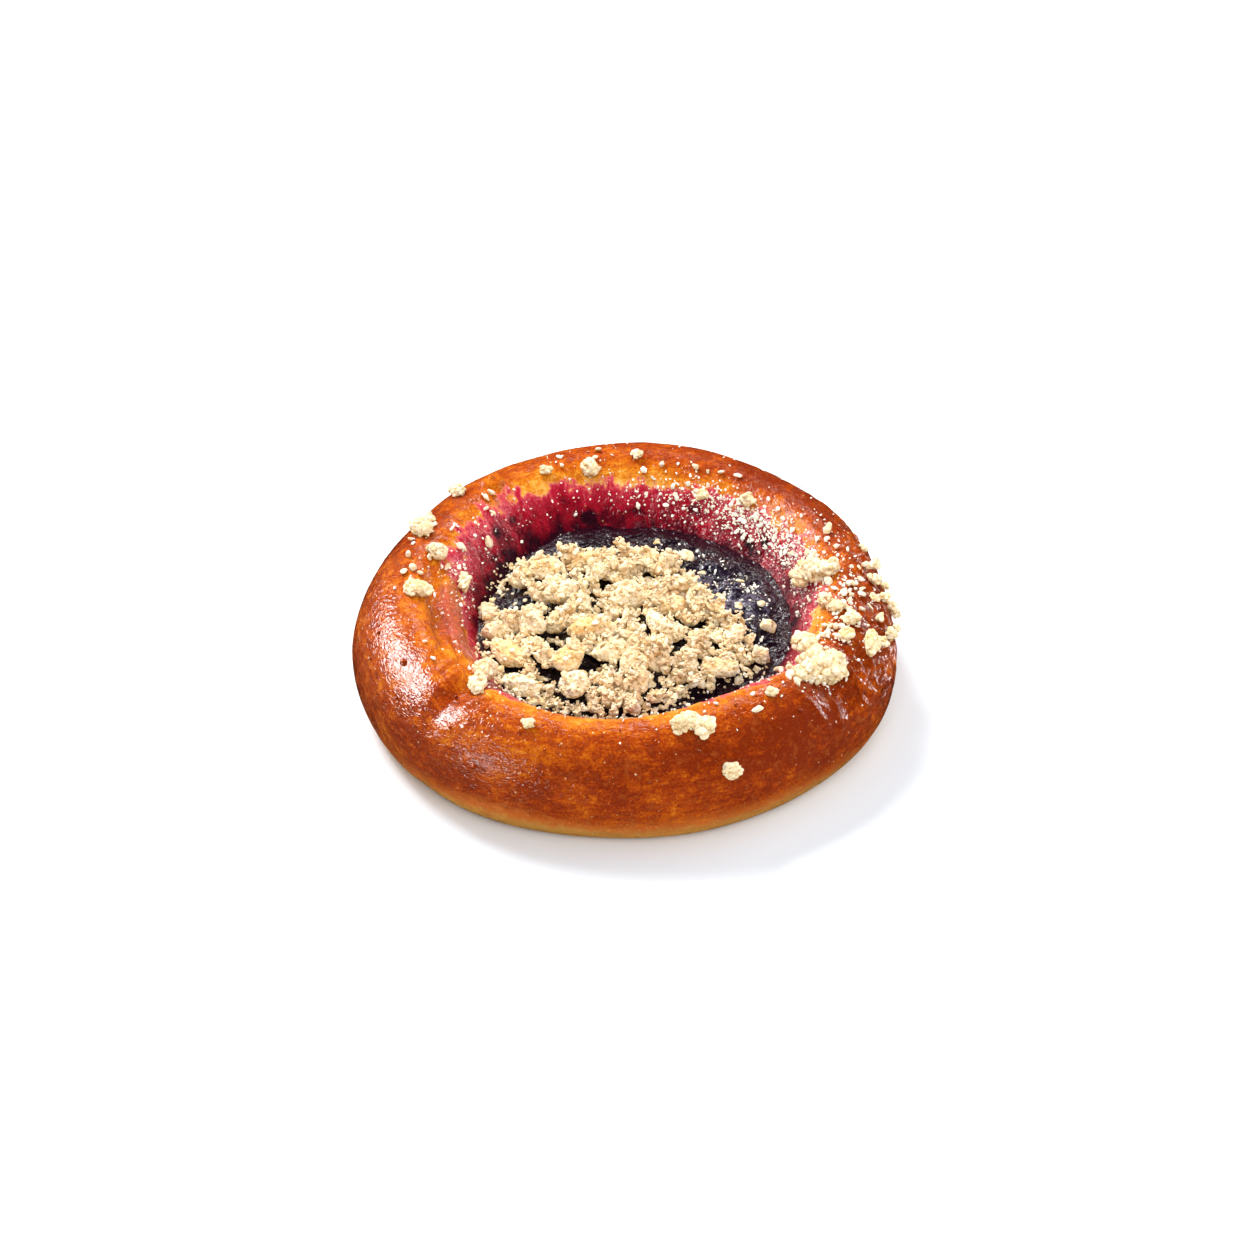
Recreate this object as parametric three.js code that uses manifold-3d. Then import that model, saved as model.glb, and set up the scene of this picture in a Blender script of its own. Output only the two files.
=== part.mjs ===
// A kolache: a round yeast-dough bun whose well holds berry filling under crumb topping.
// Millimetres, +Z up. It stands on z = 0 with the origin at the middle of its foot, and -Y is its front.
import * as THREE from 'three';
import { mergeVertices } from 'three/addons/utils/BufferGeometryUtils.js';
import Module from 'manifold-3d';

const wasm = await Module();
wasm.setup();

// ---------------------------------------------------------------- driving dimensions

const bun = {
  radius: 53.9, // mean outline, at the widest height
  crest: 25, // mean height of the ring
  bulge: 10.8, // height at which it is widest
  foot: 5.7, // how far the foot stands in from the widest outline
  turns: 80, // sides round the ring
  creaseFrom: 9, // the crust's creases start at this height
  creaseFade: 6, // and reach their full size this much higher
};

const well = {
  x: 2, // the well sits a little off the bun's middle
  y: -0.8,
  toe: 20, // radius of its flat floor
  floor: 8, // height of that floor
  crestAt: 0.675, // shares of the way from the toe to the widest outline:
  lipAt: 0.425, // the crest and the two handles of the wall's curve
  wallAt: 0.352,
};

const filling = {
  level: 13.9, // where it meets the wall
  dome: 0.8, // how much higher its middle is
  reach: 30, // the dome has flattened out this far from the middle
  berries: 44,
  berrySpread: 27, // the berries lie inside this radius
  berryHeight: 1.3,
  turns: 40,
  topRings: 7,
};

const heap = {
  x: -2,
  y: -5.5,
  radius: 25.4, // of the core that joins the pieces
  thickness: 3.2,
  turns: 36,
  mediumFillers: 24, // pieces that fill the room between the named ones, and their size
  mediumSize: 3.8,
  smallFillers: 40,
  smallSize: 2.2,
};

const crumb = {
  cuts: 7, // planes that chop each piece
  shallowest: 0.92, // how far out they lie, as shares of its half size
  deepest: 0.62,
  corner: 1.08, // farthest corner
  fineFrom: 5, // a piece of the heap this long gets more faces
  fineOnCrust: 3.4,
};

const clearance = 0.35; // between separate pieces
const mountPatch = 0.5; // share of the foot's radius at which the flat under face has its inner ring

// Slow waves round the ring: [waves in a turn, size, angle of a peak in degrees]
const outlineWaves = [[1, 0.65, -87], [2, 0.71, 59], [3, 0.96, -81], [5, 0.12, -142], [7, 0.26, -157]];
const crestWaves = [[1, 0.5, 100], [2, 0.5, 20], [3, 0.35, 160], [5, 0.25, 40]];
const wallWaves = [[2, 0.5, 150], [3, 0.7, 10], [5, 0.5, 200]];
const heapWaves = [[1, 1.6, 115], [3, 0.8, 34], [5, 0.9, -63]];

// Where the heap's outline draws back or reaches out: [size, direction, half width in degrees]
const heapTongues = [[-7, 32, 25], [4.5, -22, 14], [2.5, -140, 20]];

// Folds and dents of the crust: place, half length, half width, heading in degrees, height
const creases = [
  { x: -30.5, y: -32, long: 7, wide: 2.6, heading: 222, height: -2.6 }, // crease at the front left
  { x: -36.5, y: -9, long: 13, wide: 1.5, heading: 97, height: -1.6 }, // groove along the left lip
  { x: -33.2, y: -9, long: 11, wide: 2, heading: 97, height: 0.9 }, // the fold inside it
  { x: 37.5, y: -26.5, long: 6.5, wide: 4.5, heading: -20, height: -2.4 }, // dent under the right clump
  { x: 43.5, y: -25, long: 7, wide: 1.3, heading: -55, height: 1.3 }, // ridge beside the dent
  { x: -27.5, y: 32, long: 2.4, wide: 1.9, heading: 30, height: 1.5 }, // knob at the back left
];

// ---------------------------------------------------------------- small tools

const rad = THREE.MathUtils.degToRad;
const goldenTurn = Math.PI * (3 - Math.sqrt(5));

function seededRandom(seed) {
  let state = seed;
  return () => {
    state = (state + 0x6d2b79f5) | 0;
    let t = Math.imul(state ^ (state >>> 15), 1 | state);
    t = (t + Math.imul(t ^ (t >>> 7), 61 | t)) ^ t;
    return ((t ^ (t >>> 14)) >>> 0) / 4294967296;
  };
}

const waveSum = (turn, waves) =>
  waves.reduce((sum, [count, size, peak]) => sum + size * Math.cos(count * turn - rad(peak)), 0);

// A closed skin over rings of points from one pole to the other, each ring counter-clockwise from above.
function skinOver(firstPole, rings, lastPole) {
  const turns = rings[0].length;
  const points = [firstPole, ...rings.flat(), lastPole];
  const at = (ring, i) => 1 + ring * turns + (i % turns);
  const index = [];
  for (let i = 0; i < turns; i++) {
    index.push(0, at(0, i + 1), at(0, i));
    for (let ring = 0; ring + 1 < rings.length; ring++) {
      index.push(at(ring, i), at(ring, i + 1), at(ring + 1, i + 1));
      index.push(at(ring, i), at(ring + 1, i + 1), at(ring + 1, i));
    }
    index.push(at(rings.length - 1, i), at(rings.length - 1, i + 1), points.length - 1);
  }
  return new THREE.BufferGeometry().setFromPoints(points).setIndex(index);
}

function solidFrom(geometry) {
  const bare = geometry.clone();
  bare.deleteAttribute('normal');
  bare.deleteAttribute('uv');
  const merged = mergeVertices(bare, 1e-4);
  return new wasm.Manifold(
    new wasm.Mesh({
      numProp: 3,
      vertProperties: merged.attributes.position.array,
      triVerts: new Uint32Array(merged.index.array),
    }),
  );
}

function geometryFrom(solid) {
  const mesh = solid.getMesh();
  return new THREE.BufferGeometry()
    .setAttribute('position', new THREE.BufferAttribute(mesh.vertProperties, 3))
    .setIndex(new THREE.BufferAttribute(mesh.triVerts, 1));
}

const joined = (solids) => solids.reduce((all, solid) => all.add(solid));

// The largest body of a solid: what a cut has left loose is dropped.
const mainBody = (solid) =>
  solid.decompose().reduce((best, body) => (body.volume() > best.volume() ? body : best));

// ---------------------------------------------------------------- dough

const ringPoint = (turn, radius, x = 0, y = 0) =>
  new THREE.Vector2(x + radius * Math.cos(turn), y + radius * Math.sin(turn));

// The crust at an angle round the ring and a step along its section:
// 1 foot, 2 widest outline, 3 crest, 4 toe of the well.
function crustPoint(turn, step) {
  const outer = ringPoint(turn, bun.radius + waveSum(turn, outlineWaves));
  const toe = ringPoint(turn, well.toe, well.x, well.y);
  const span = bun.radius - well.toe;
  const crest = bun.crest + waveSum(turn, crestWaves);
  const wallShift = waveSum(turn, wallWaves) / span;
  const crestAt = well.crestAt + wallShift / 2;
  let share, z;
  if (step <= 2) {
    const swing = (step - 1) * (Math.PI / 2);
    share = 1 - (bun.foot / span) * (1 - Math.sin(swing));
    z = bun.bulge * (1 - Math.cos(swing));
  } else if (step <= 3) {
    const swing = (step - 2) * (Math.PI / 2);
    share = crestAt + (1 - crestAt) * Math.cos(swing);
    z = bun.bulge + (crest - bun.bulge) * Math.sin(swing);
  } else {
    const down = step - 3;
    const bezier = (a, b, c, d) =>
      a * (1 - down) ** 3 + 3 * b * down * (1 - down) ** 2 + 3 * c * down ** 2 * (1 - down) + d * down ** 3;
    share = bezier(crestAt, well.lipAt + wallShift, well.wallAt + wallShift, 0);
    z = bezier(crest, crest, well.floor, well.floor);
  }
  const plan = toe.clone().lerp(outer, share);
  const core = toe.clone().lerp(outer, well.crestAt);
  const point = new THREE.Vector3(plan.x, plan.y, z);
  const outward = point.clone().sub(new THREE.Vector3(core.x, core.y, bun.bulge)).normalize();
  const fade = THREE.MathUtils.clamp((z - bun.creaseFrom) / bun.creaseFade, 0, 1);
  return point.addScaledVector(outward, fade * creaseHeight(plan.x, plan.y));
}

// The sum of the creases' heights at a place in plan, each a long smooth hump or hollow.
function creaseHeight(x, y) {
  let height = 0;
  for (const crease of creases) {
    const heading = rad(crease.heading);
    const along = (x - crease.x) * Math.cos(heading) + (y - crease.y) * Math.sin(heading);
    const across = (y - crease.y) * Math.cos(heading) - (x - crease.x) * Math.sin(heading);
    height += crease.height * Math.exp(-((along / crease.long) ** 2) - (across / crease.wide) ** 2);
  }
  return height;
}

// The crust's outward normal, from two short steps on it.
function crustNormal(turn, step) {
  const small = 0.01;
  const here = crustPoint(turn, step);
  const round = crustPoint(turn + small, step).sub(here);
  const forward =
    step < 4
      ? crustPoint(turn, step + small).sub(here)
      : here.clone().sub(crustPoint(turn, step - small));
  return round.cross(forward).normalize();
}

const liftedCrust = (turn, step, lift) =>
  crustPoint(turn, step).addScaledVector(crustNormal(turn, step), lift);

const turnsOf = (count) => Array.from({ length: count }, (_, i) => (i / count) * 2 * Math.PI);

// The whole bun, or one swollen by lift, which cuts what lies on it.
function doughGeometry(lift = 0) {
  const steps = [1];
  for (let i = 1; i <= 4; i++) steps.push(1 + i / 4);
  for (let i = 1; i <= 7; i++) steps.push(2 + i / 7);
  for (let i = 1; i <= 9; i++) steps.push(3 + i / 9);
  const turns = turnsOf(bun.turns);
  const rings = steps.map((step) =>
    turns.map((turn) => (lift && step > 1 ? liftedCrust(turn, step, lift) : crustPoint(turn, step))),
  );
  const inner = rings[0].map((p) => p.clone().multiplyScalar(mountPatch).setZ(0));
  return skinOver(
    new THREE.Vector3(0, 0, 0),
    [inner, ...rings],
    new THREE.Vector3(well.x, well.y, well.floor + lift),
  );
}

// ---------------------------------------------------------------- filling

const berryRandom = seededRandom(11);
const berries = Array.from({ length: filling.berries }, (_, i) => {
  const spread = filling.berrySpread * Math.sqrt((i + 0.5) / filling.berries);
  return {
    x: well.x + spread * Math.cos(i * goldenTurn) + berryRandom() - 0.5,
    y: well.y + spread * Math.sin(i * goldenTurn) + berryRandom() - 0.5,
    radius: 3.2 + 1.6 * berryRandom(),
  };
});

// Height of the filling: a low dome with the tops of soft berries standing out of it.
function fillingTop(x, y) {
  const out = Math.hypot(x - well.x, y - well.y) / filling.reach;
  let bump = 0;
  for (const berry of berries) {
    const near = 1 - ((x - berry.x) ** 2 + (y - berry.y) ** 2) / berry.radius ** 2;
    if (near > 0) bump = Math.max(bump, filling.berryHeight * near ** 0.8);
  }
  const flatEdge = THREE.MathUtils.clamp((1 - out) * 5, 0, 1);
  return filling.level + filling.dome * Math.max(0, 1 - out * out) + bump * flatEdge;
}

// The step at which the well's wall passes a height, by halving.
function wallStepAt(turn, height) {
  let above = 3, below = 4;
  for (let i = 0; i < 24; i++) {
    const middle = (above + below) / 2;
    if (crustPoint(turn, middle).z > height) above = middle;
    else below = middle;
  }
  return (above + below) / 2;
}

// The filling fills the well up to its level. gap keeps it off the dough, and raise swells its top.
function fillingGeometry(gap, raise = 0) {
  const turns = turnsOf(filling.turns);
  const edgeSteps = turns.map((turn) => wallStepAt(turn, filling.level));
  const sides = [1, 0.66, 0.33, 0].map((share) =>
    turns.map((turn, i) => liftedCrust(turn, edgeSteps[i] + share * (4 - edgeSteps[i]), gap)),
  );
  const edge = sides[sides.length - 1];
  edge.forEach((p) => (p.z += raise));
  const middle = new THREE.Vector2(well.x, well.y);
  const tops = [];
  for (let ring = 1; ring <= filling.topRings; ring++) {
    tops.push(edge.map((p) => {
      const plan = new THREE.Vector2(p.x, p.y).lerp(middle, ring / (filling.topRings + 1));
      return new THREE.Vector3(plan.x, plan.y, fillingTop(plan.x, plan.y) + raise);
    }));
  }
  return skinOver(
    new THREE.Vector3(well.x, well.y, well.floor + gap),
    [...sides, ...tops],
    new THREE.Vector3(well.x, well.y, fillingTop(well.x, well.y) + raise),
  );
}

// ---------------------------------------------------------------- crumb topping

// A crumb of baked streusel: a ball chopped by random planes, stretched to its size.
function crumbGeometry(random, long, wide, tall, detail) {
  const ball = new THREE.IcosahedronGeometry(1, detail);
  const cuts = Array.from({ length: crumb.cuts }, () => ({
    facing: new THREE.Vector3(random() - 0.5, random() - 0.5, random() - 0.5).normalize(),
    depth: crumb.deepest + (crumb.shallowest - crumb.deepest) * random(),
  }));
  const half = new THREE.Vector3(long, wide, tall).multiplyScalar(0.5);
  const at = ball.attributes.position;
  for (let i = 0; i < at.count; i++) {
    const way = new THREE.Vector3().fromBufferAttribute(at, i).normalize();
    const reach = cuts.reduce((least, cut) => {
      const toward = way.dot(cut.facing);
      return toward > 0.05 ? Math.min(least, cut.depth / toward) : least;
    }, crumb.corner);
    way.multiplyScalar(reach).multiply(half);
    at.setXYZ(i, way.x, way.y, way.z);
  }
  return ball;
}

function crumbAt(random, place, long, wide, tall, heading, detail, up = new THREE.Vector3(0, 0, 1)) {
  const lean = new THREE.Quaternion().setFromUnitVectors(new THREE.Vector3(0, 0, 1), up);
  const spin = new THREE.Quaternion().setFromAxisAngle(new THREE.Vector3(0, 0, 1), heading);
  const pose = new THREE.Matrix4().compose(place, lean.multiply(spin), new THREE.Vector3(1, 1, 1));
  return solidFrom(crumbGeometry(random, long, wide, tall, detail).applyMatrix4(pose));
}

// A crumb, or a clump's lobe, resting on the crust at an angle and a step.
function crumbOnCrust(random, spot) {
  const turn = rad(spot.turn);
  const up = crustNormal(turn, spot.step);
  const tall = spot.tall ?? spot.size * 0.75;
  const place = crustPoint(turn, spot.step).addScaledVector(up, tall * 0.25);
  const long = spot.long ?? spot.size * (1 + 0.25 * random());
  const wide = spot.wide ?? spot.size * (0.8 + 0.2 * random());
  const heading = spot.heading === undefined ? random() * Math.PI : rad(spot.heading);
  return crumbAt(random, place, long, wide, tall, heading, long > crumb.fineOnCrust ? 1 : 0, up);
}

// The larger pieces of the heap, with their headings in plan.
const heapPieces = [
  { x: -16.3, y: 12, long: 7.5, wide: 6, tall: 5, heading: 20 },
  { x: -8.7, y: 16, long: 6.5, wide: 3.6, tall: 3.4, heading: 40 },
  { x: -12.9, y: 3.6, long: 8, wide: 6.6, tall: 5.4, heading: 160 },
  { x: -5.8, y: 10, long: 6, wide: 4.6, tall: 4.4, heading: 60 },
  { x: 5.3, y: 14.7, long: 4.8, wide: 4.2, tall: 5, heading: 90 },
  { x: 0.4, y: 1.1, long: 8.6, wide: 6.8, tall: 6, heading: 10 },
  { x: 9.2, y: -0.8, long: 6.8, wide: 5.6, tall: 5.2, heading: 20 },
  { x: 8.1, y: -8.1, long: 11, wide: 5.2, tall: 4.4, heading: -42 },
  { x: -6.6, y: -8.7, long: 10.4, wide: 6.6, tall: 5.6, heading: 8 },
  { x: -18.3, y: -6.5, long: 6.4, wide: 5.8, tall: 5, heading: -20 },
  { x: -18, y: -12.1, long: 6.4, wide: 4.8, tall: 4.2, heading: -10 },
  { x: -10.9, y: -17, long: 9.2, wide: 7.2, tall: 5.4, heading: 38 },
  { x: -2.7, y: -14.9, long: 9.4, wide: 4.6, tall: 4.4, heading: 6 },
  { x: -26, y: -5.9, long: 5.2, wide: 4.6, tall: 5, heading: 0 },
  { x: -23.2, y: -13.5, long: 10.5, wide: 5.4, tall: 4.8, heading: -58 },
  { x: -20.5, y: -22.5, long: 9, wide: 4.4, tall: 4.2, heading: -30 },
  { x: -9.8, y: -24, long: 7.4, wide: 6.2, tall: 4.8, heading: 42 },
  { x: 1.2, y: -18.9, long: 6, wide: 5, tall: 4.6, heading: 80 },
  { x: 17.8, y: -17.5, long: 9.4, wide: 5.2, tall: 4.4, heading: -12 },
  { x: 21.5, y: -9.6, long: 5.2, wide: 4.6, tall: 4.6, heading: 60 },
  { x: 26.6, y: -12.6, long: 4.6, wide: 3.8, tall: 4, heading: 70 },
  { x: -27.6, y: 1.6, long: 6, wide: 3.4, tall: 3.4, heading: -70 },
];

// Outline of the core: a wavy circle with the bare bay at the back right and two tongues.
function coreRadius(turn) {
  const tongues = heapTongues.reduce((sum, [size, heading, width]) => {
    const away = turn - rad(heading);
    const wrapped = Math.atan2(Math.sin(away), Math.cos(away));
    return sum + size * Math.exp(-((wrapped / rad(width)) ** 2));
  }, 0);
  return heap.radius + waveSum(turn, heapWaves) + tongues;
}

function coreThickness(x, y) {
  const out = Math.hypot(x - heap.x, y - heap.y) / coreRadius(Math.atan2(y - heap.y, x - heap.x));
  return heap.thickness * Math.sqrt(Math.max(0, 1 - out * out));
}

// The heap's core: a low patch that joins its pieces, sunk into the filling's place until it is cut.
function coreGeometry() {
  const turns = turnsOf(heap.turns);
  const layer = (share, height) =>
    turns.map((turn) => {
      const plan = ringPoint(turn, coreRadius(turn) * share, heap.x, heap.y);
      return new THREE.Vector3(plan.x, plan.y, height(plan.x, plan.y));
    });
  const under = () => filling.level - 1;
  const over = (x, y) => fillingTop(x, y) + 0.5 + coreThickness(x, y);
  return skinOver(
    new THREE.Vector3(heap.x, heap.y, under()),
    [layer(1, under), layer(1, over), layer(0.86, over), layer(0.62, over), layer(0.34, over)],
    new THREE.Vector3(heap.x, heap.y, over(heap.x, heap.y)),
  );
}

// Smaller pieces fill the room between the others: each takes the draw farthest from its neighbours.
function addFillers(random, count, size, pieces) {
  const draws = 40;
  const room = (plan) => Math.min(...pieces.map((p) => Math.hypot(p.x - plan.x, p.y - plan.y) - p.long / 2));
  for (let i = 0; i < count; i++) {
    const places = Array.from({ length: draws }, () => {
      const turn = random() * 2 * Math.PI;
      return ringPoint(turn, coreRadius(turn) * Math.sqrt(random()), heap.x, heap.y);
    });
    const { x, y } = places.reduce((best, plan) => (room(plan) > room(best) ? plan : best));
    const long = size * (0.8 + 0.5 * random());
    pieces.push({ x, y, long, wide: long * 0.8, tall: long * 0.8, heading: random() * 180 });
  }
}

// The whole heap: its core and pieces, cut to lie on the filling and clear of the dough.
function heapSolid(keepOut) {
  const random = seededRandom(5);
  const pieces = [...heapPieces];
  addFillers(random, heap.mediumFillers, heap.mediumSize, pieces);
  addFillers(random, heap.smallFillers, heap.smallSize, pieces);
  const crumbs = pieces.map((p) => {
    const z = fillingTop(p.x, p.y) + coreThickness(p.x, p.y) * 0.8 + p.tall * 0.28;
    const detail = p.long > crumb.fineFrom ? 1 : 0;
    return crumbAt(random, new THREE.Vector3(p.x, p.y, z), p.long, p.wide, p.tall, rad(p.heading), detail);
  });
  return mainBody(joined([solidFrom(coreGeometry()), ...crumbs]).subtract(keepOut));
}

// Crumbs that the glaze holds on the crust.
const rimCrumbs = [
  { turn: 160, step: 2.85, size: 5.2 }, { turn: 155, step: 2.79, size: 3.4 },
  { turn: 168, step: 3.11, size: 4 }, { turn: 186, step: 3.05, size: 4.6 },
  { turn: 102, step: 3.16, size: 4.2 }, { turn: 140, step: 2.79, size: 3 },
  { turn: 292, step: 2.3, size: 3.5 }, { turn: 353, step: 3.19, size: 3.3 },
  { turn: 348, step: 3.08, size: 3.2 }, { turn: 344, step: 2.92, size: 3.2 },
  { turn: 338, step: 2.91, size: 3 }, { turn: 340, step: 2.63, size: 3.4, long: 7, heading: 80 },
  { turn: 2, step: 2.64, size: 2.6 }, { turn: 358, step: 2.52, size: 2.6 },
  { turn: 359, step: 2.35, size: 2.2 }, { turn: 348, step: 2.42, size: 2.6 },
  { turn: 246, step: 2.85, size: 2 }, { turn: 88, step: 3.06, size: 2.1 },
  { turn: 115, step: 3.09, size: 2.2 }, { turn: 172, step: 3.38, size: 3.2, long: 5.6, heading: 90 },
  { turn: 66, step: 3.31, size: 2.3 }, { turn: 50, step: 3.24, size: 2.9 },
  { turn: 308, step: 2.91, size: 2 }, { turn: 137, step: 2.56, size: 2 },
];

// Stray crumbs on the bare filling.
const strayCrumbs = [
  { x: 28, y: -3.4, size: 3.8 }, { x: 12.4, y: 19, size: 3.4 }, { x: 23, y: 12, size: 1.8 },
  { x: 15.5, y: 14, size: 2 }, { x: 22.5, y: 3, size: 2 }, { x: 27, y: 4, size: 1.8 },
  { x: 6.5, y: 24.5, size: 2 },
];

// Clumps as large as a berry, each built of lobes that lie on the crust.
const clumps = {
  clump_right: [
    { turn: 327, step: 2.82, size: 8.6, long: 9.4, wide: 8, tall: 6.4, heading: 20 },
    { turn: 332, step: 3.2, size: 4.6, long: 8, tall: 4.4, heading: 120 },
    { turn: 321, step: 2.98, size: 3.6, long: 6.6, tall: 4, heading: 40 },
    { turn: 327, step: 3.06, size: 5, tall: 5 },
  ],
  clump_back_right: [
    { turn: 10, step: 3.34, size: 5.6, tall: 5 },
    { turn: 7.5, step: 3.24, size: 5.6, tall: 5 },
    { turn: 4.5, step: 3.14, size: 3.4, long: 5.6, tall: 3.6, heading: 10 },
  ],
  clump_front: [
    { turn: 282.5, step: 2.84, size: 3.2, tall: 3 },
    { turn: 285.5, step: 2.85, size: 3.6, long: 5.4, tall: 3.4, heading: 160 },
    { turn: 288, step: 2.76, size: 4, tall: 3.4 },
  ],
  clump_left: [
    { turn: 221, step: 3.26, size: 5.8, long: 6.6, tall: 5, heading: 70 },
    { turn: 225.5, step: 3.12, size: 4.6, long: 6, tall: 4, heading: 80 },
    { turn: 229, step: 3.02, size: 2.6, tall: 2.6 },
  ],
};

// ---------------------------------------------------------------- the object

const dough = solidFrom(doughGeometry());
const swollenDough = solidFrom(doughGeometry(clearance));
const swollenFilling = solidFrom(fillingGeometry(0, clearance));
const keepOut = swollenDough.add(swollenFilling);

const rimRandom = seededRandom(3);
const bunSolid = mainBody(joined([dough, ...rimCrumbs.map((spot) => crumbOnCrust(rimRandom, spot))]));

const strayRandom = seededRandom(8);
const strays = strayCrumbs.map(({ x, y, size }) => {
  const place = new THREE.Vector3(x, y, fillingTop(x, y));
  const heading = strayRandom() * Math.PI;
  return crumbAt(strayRandom, place, size, size * 0.85, size * 0.75, heading, size > 3.1 ? 1 : 0);
});
const bareFilling = solidFrom(fillingGeometry(clearance));
const fillingSolid = mainBody(bareFilling.add(joined(strays).subtract(swollenDough)));

const pieces = new THREE.Group();

function addPiece(name, solid, color, roughness) {
  const mesh = new THREE.Mesh(
    geometryFrom(solid),
    new THREE.MeshStandardMaterial({ color, roughness, metalness: 0, flatShading: true }),
  );
  mesh.name = name;
  pieces.add(mesh);
  return mesh;
}

addPiece('bun', bunSolid, 0xb5651d, 0.3);
addPiece('filling', fillingSolid, 0x2a1a2e, 0.35);
addPiece('streusel_heap', heapSolid(keepOut), 0xe6cf9c, 0.9);

Object.entries(clumps).forEach(([name, lobes], i) => {
  const random = seededRandom(21 + i);
  const clump = joined(lobes.map((spot) => crumbOnCrust(random, spot))).subtract(keepOut);
  addPiece('streusel_' + name, mainBody(clump), 0xe9d3a4, 0.9);
});

// The middle of the whole object's box, crumbs included, goes over the origin.
const middle = new THREE.Box3().setFromObject(pieces).getCenter(new THREE.Vector3());
pieces.position.set(-middle.x, -middle.y, 0);

export default pieces;
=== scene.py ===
# A kolache: glossy ring of sweet dough, wet berry filling in its well, crumb topping.
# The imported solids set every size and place; lengths here are in mm until they reach a mesh.
import math

import bmesh
import bpy
import numpy as np
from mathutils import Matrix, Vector


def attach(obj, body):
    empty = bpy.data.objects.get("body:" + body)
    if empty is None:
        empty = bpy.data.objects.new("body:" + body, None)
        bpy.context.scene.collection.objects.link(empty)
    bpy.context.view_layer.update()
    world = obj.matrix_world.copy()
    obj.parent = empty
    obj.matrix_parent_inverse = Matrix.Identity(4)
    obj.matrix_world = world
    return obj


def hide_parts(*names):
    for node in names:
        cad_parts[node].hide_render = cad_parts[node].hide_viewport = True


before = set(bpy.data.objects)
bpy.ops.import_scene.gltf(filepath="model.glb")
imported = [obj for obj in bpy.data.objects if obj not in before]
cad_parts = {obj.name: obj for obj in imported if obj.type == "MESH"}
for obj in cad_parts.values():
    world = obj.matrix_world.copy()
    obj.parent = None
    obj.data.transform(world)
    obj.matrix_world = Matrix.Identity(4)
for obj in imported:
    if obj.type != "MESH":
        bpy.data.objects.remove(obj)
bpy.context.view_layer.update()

mm = 0.001
frameShift = np.array([0.206, -0.327, 0.0])  # from the drawing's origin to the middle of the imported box
fullTurn = 2 * math.pi
goldenTurn = math.pi * (3 - math.sqrt(5))
upward = np.array([0.0, 0.0, 1.0])
latticeStirs = (374761393, 668265263, 1274126177, 362437)  # large numbers that stir x, y, z and the seed
latticeTop = 0xFFFFFFFF
layerShift = 17.3  # keeps the layers of a noise apart


# Lattice value: the digits of three whole numbers are stirred together into a share from 0 to 1.
def latticeValue(ix, iy, iz, seed):
    stirX, stirY, stirZ, stirSeed = latticeStirs
    mixed = (ix * stirX + iy * stirY + iz * stirZ + seed * stirSeed) & latticeTop
    mixed = ((mixed ^ (mixed >> 13)) * stirZ) & latticeTop
    mixed = mixed ^ (mixed >> 16)
    return mixed / latticeTop


# Smooth noise from -1 to 1: the eight lattice values round each point, mixed by the smooth step 3t^2 - 2t^3.
def noiseAt(points, size, seed=0):
    scaled = points / size
    base = np.floor(scaled).astype(np.int64)
    share = scaled - base
    share = share * share * (3 - 2 * share)
    total = np.zeros(points.shape[:-1])
    for corner in range(8):
        dx, dy, dz = corner & 1, (corner >> 1) & 1, corner >> 2
        weight = np.where(dx, share[..., 0], 1 - share[..., 0])
        weight = weight * np.where(dy, share[..., 1], 1 - share[..., 1])
        weight = weight * np.where(dz, share[..., 2], 1 - share[..., 2])
        total += weight * latticeValue(base[..., 0] + dx, base[..., 1] + dy, base[..., 2] + dz, seed)
    return total * 2 - 1


# Layered noise: each layer is half the size and half the strength of the one before.
def layeredNoise(points, size, layers=3, seed=0):
    total = np.zeros(points.shape[:-1])
    for layer in range(layers):
        total += noiseAt(points + layerShift * layer, size / 2**layer, seed + layer) / 2**layer
    return total / (2 - 2.0 ** (1 - layers))


# Packed balls, one seed in each lattice cell: 1 at a seed, falling as a ball's height does to 0 between them.
def grainHeight(points, size, seed, reach=0.8):
    scaled = points / size
    base = np.floor(scaled).astype(np.int64)
    nearest = np.full(points.shape[:-1], 9.0)
    for offset in np.ndindex(3, 3, 3):
        cell = base + np.array(offset) - 1
        away = np.zeros(points.shape[:-1])
        for axis in range(3):
            spot = 0.1 + 0.8 * latticeValue(cell[..., 0], cell[..., 1], cell[..., 2], seed + axis)
            away += (cell[..., axis] + spot - scaled[..., axis]) ** 2
        nearest = np.minimum(nearest, away)
    return np.sqrt(np.clip(1 - nearest / reach**2, 0, 1))


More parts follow.
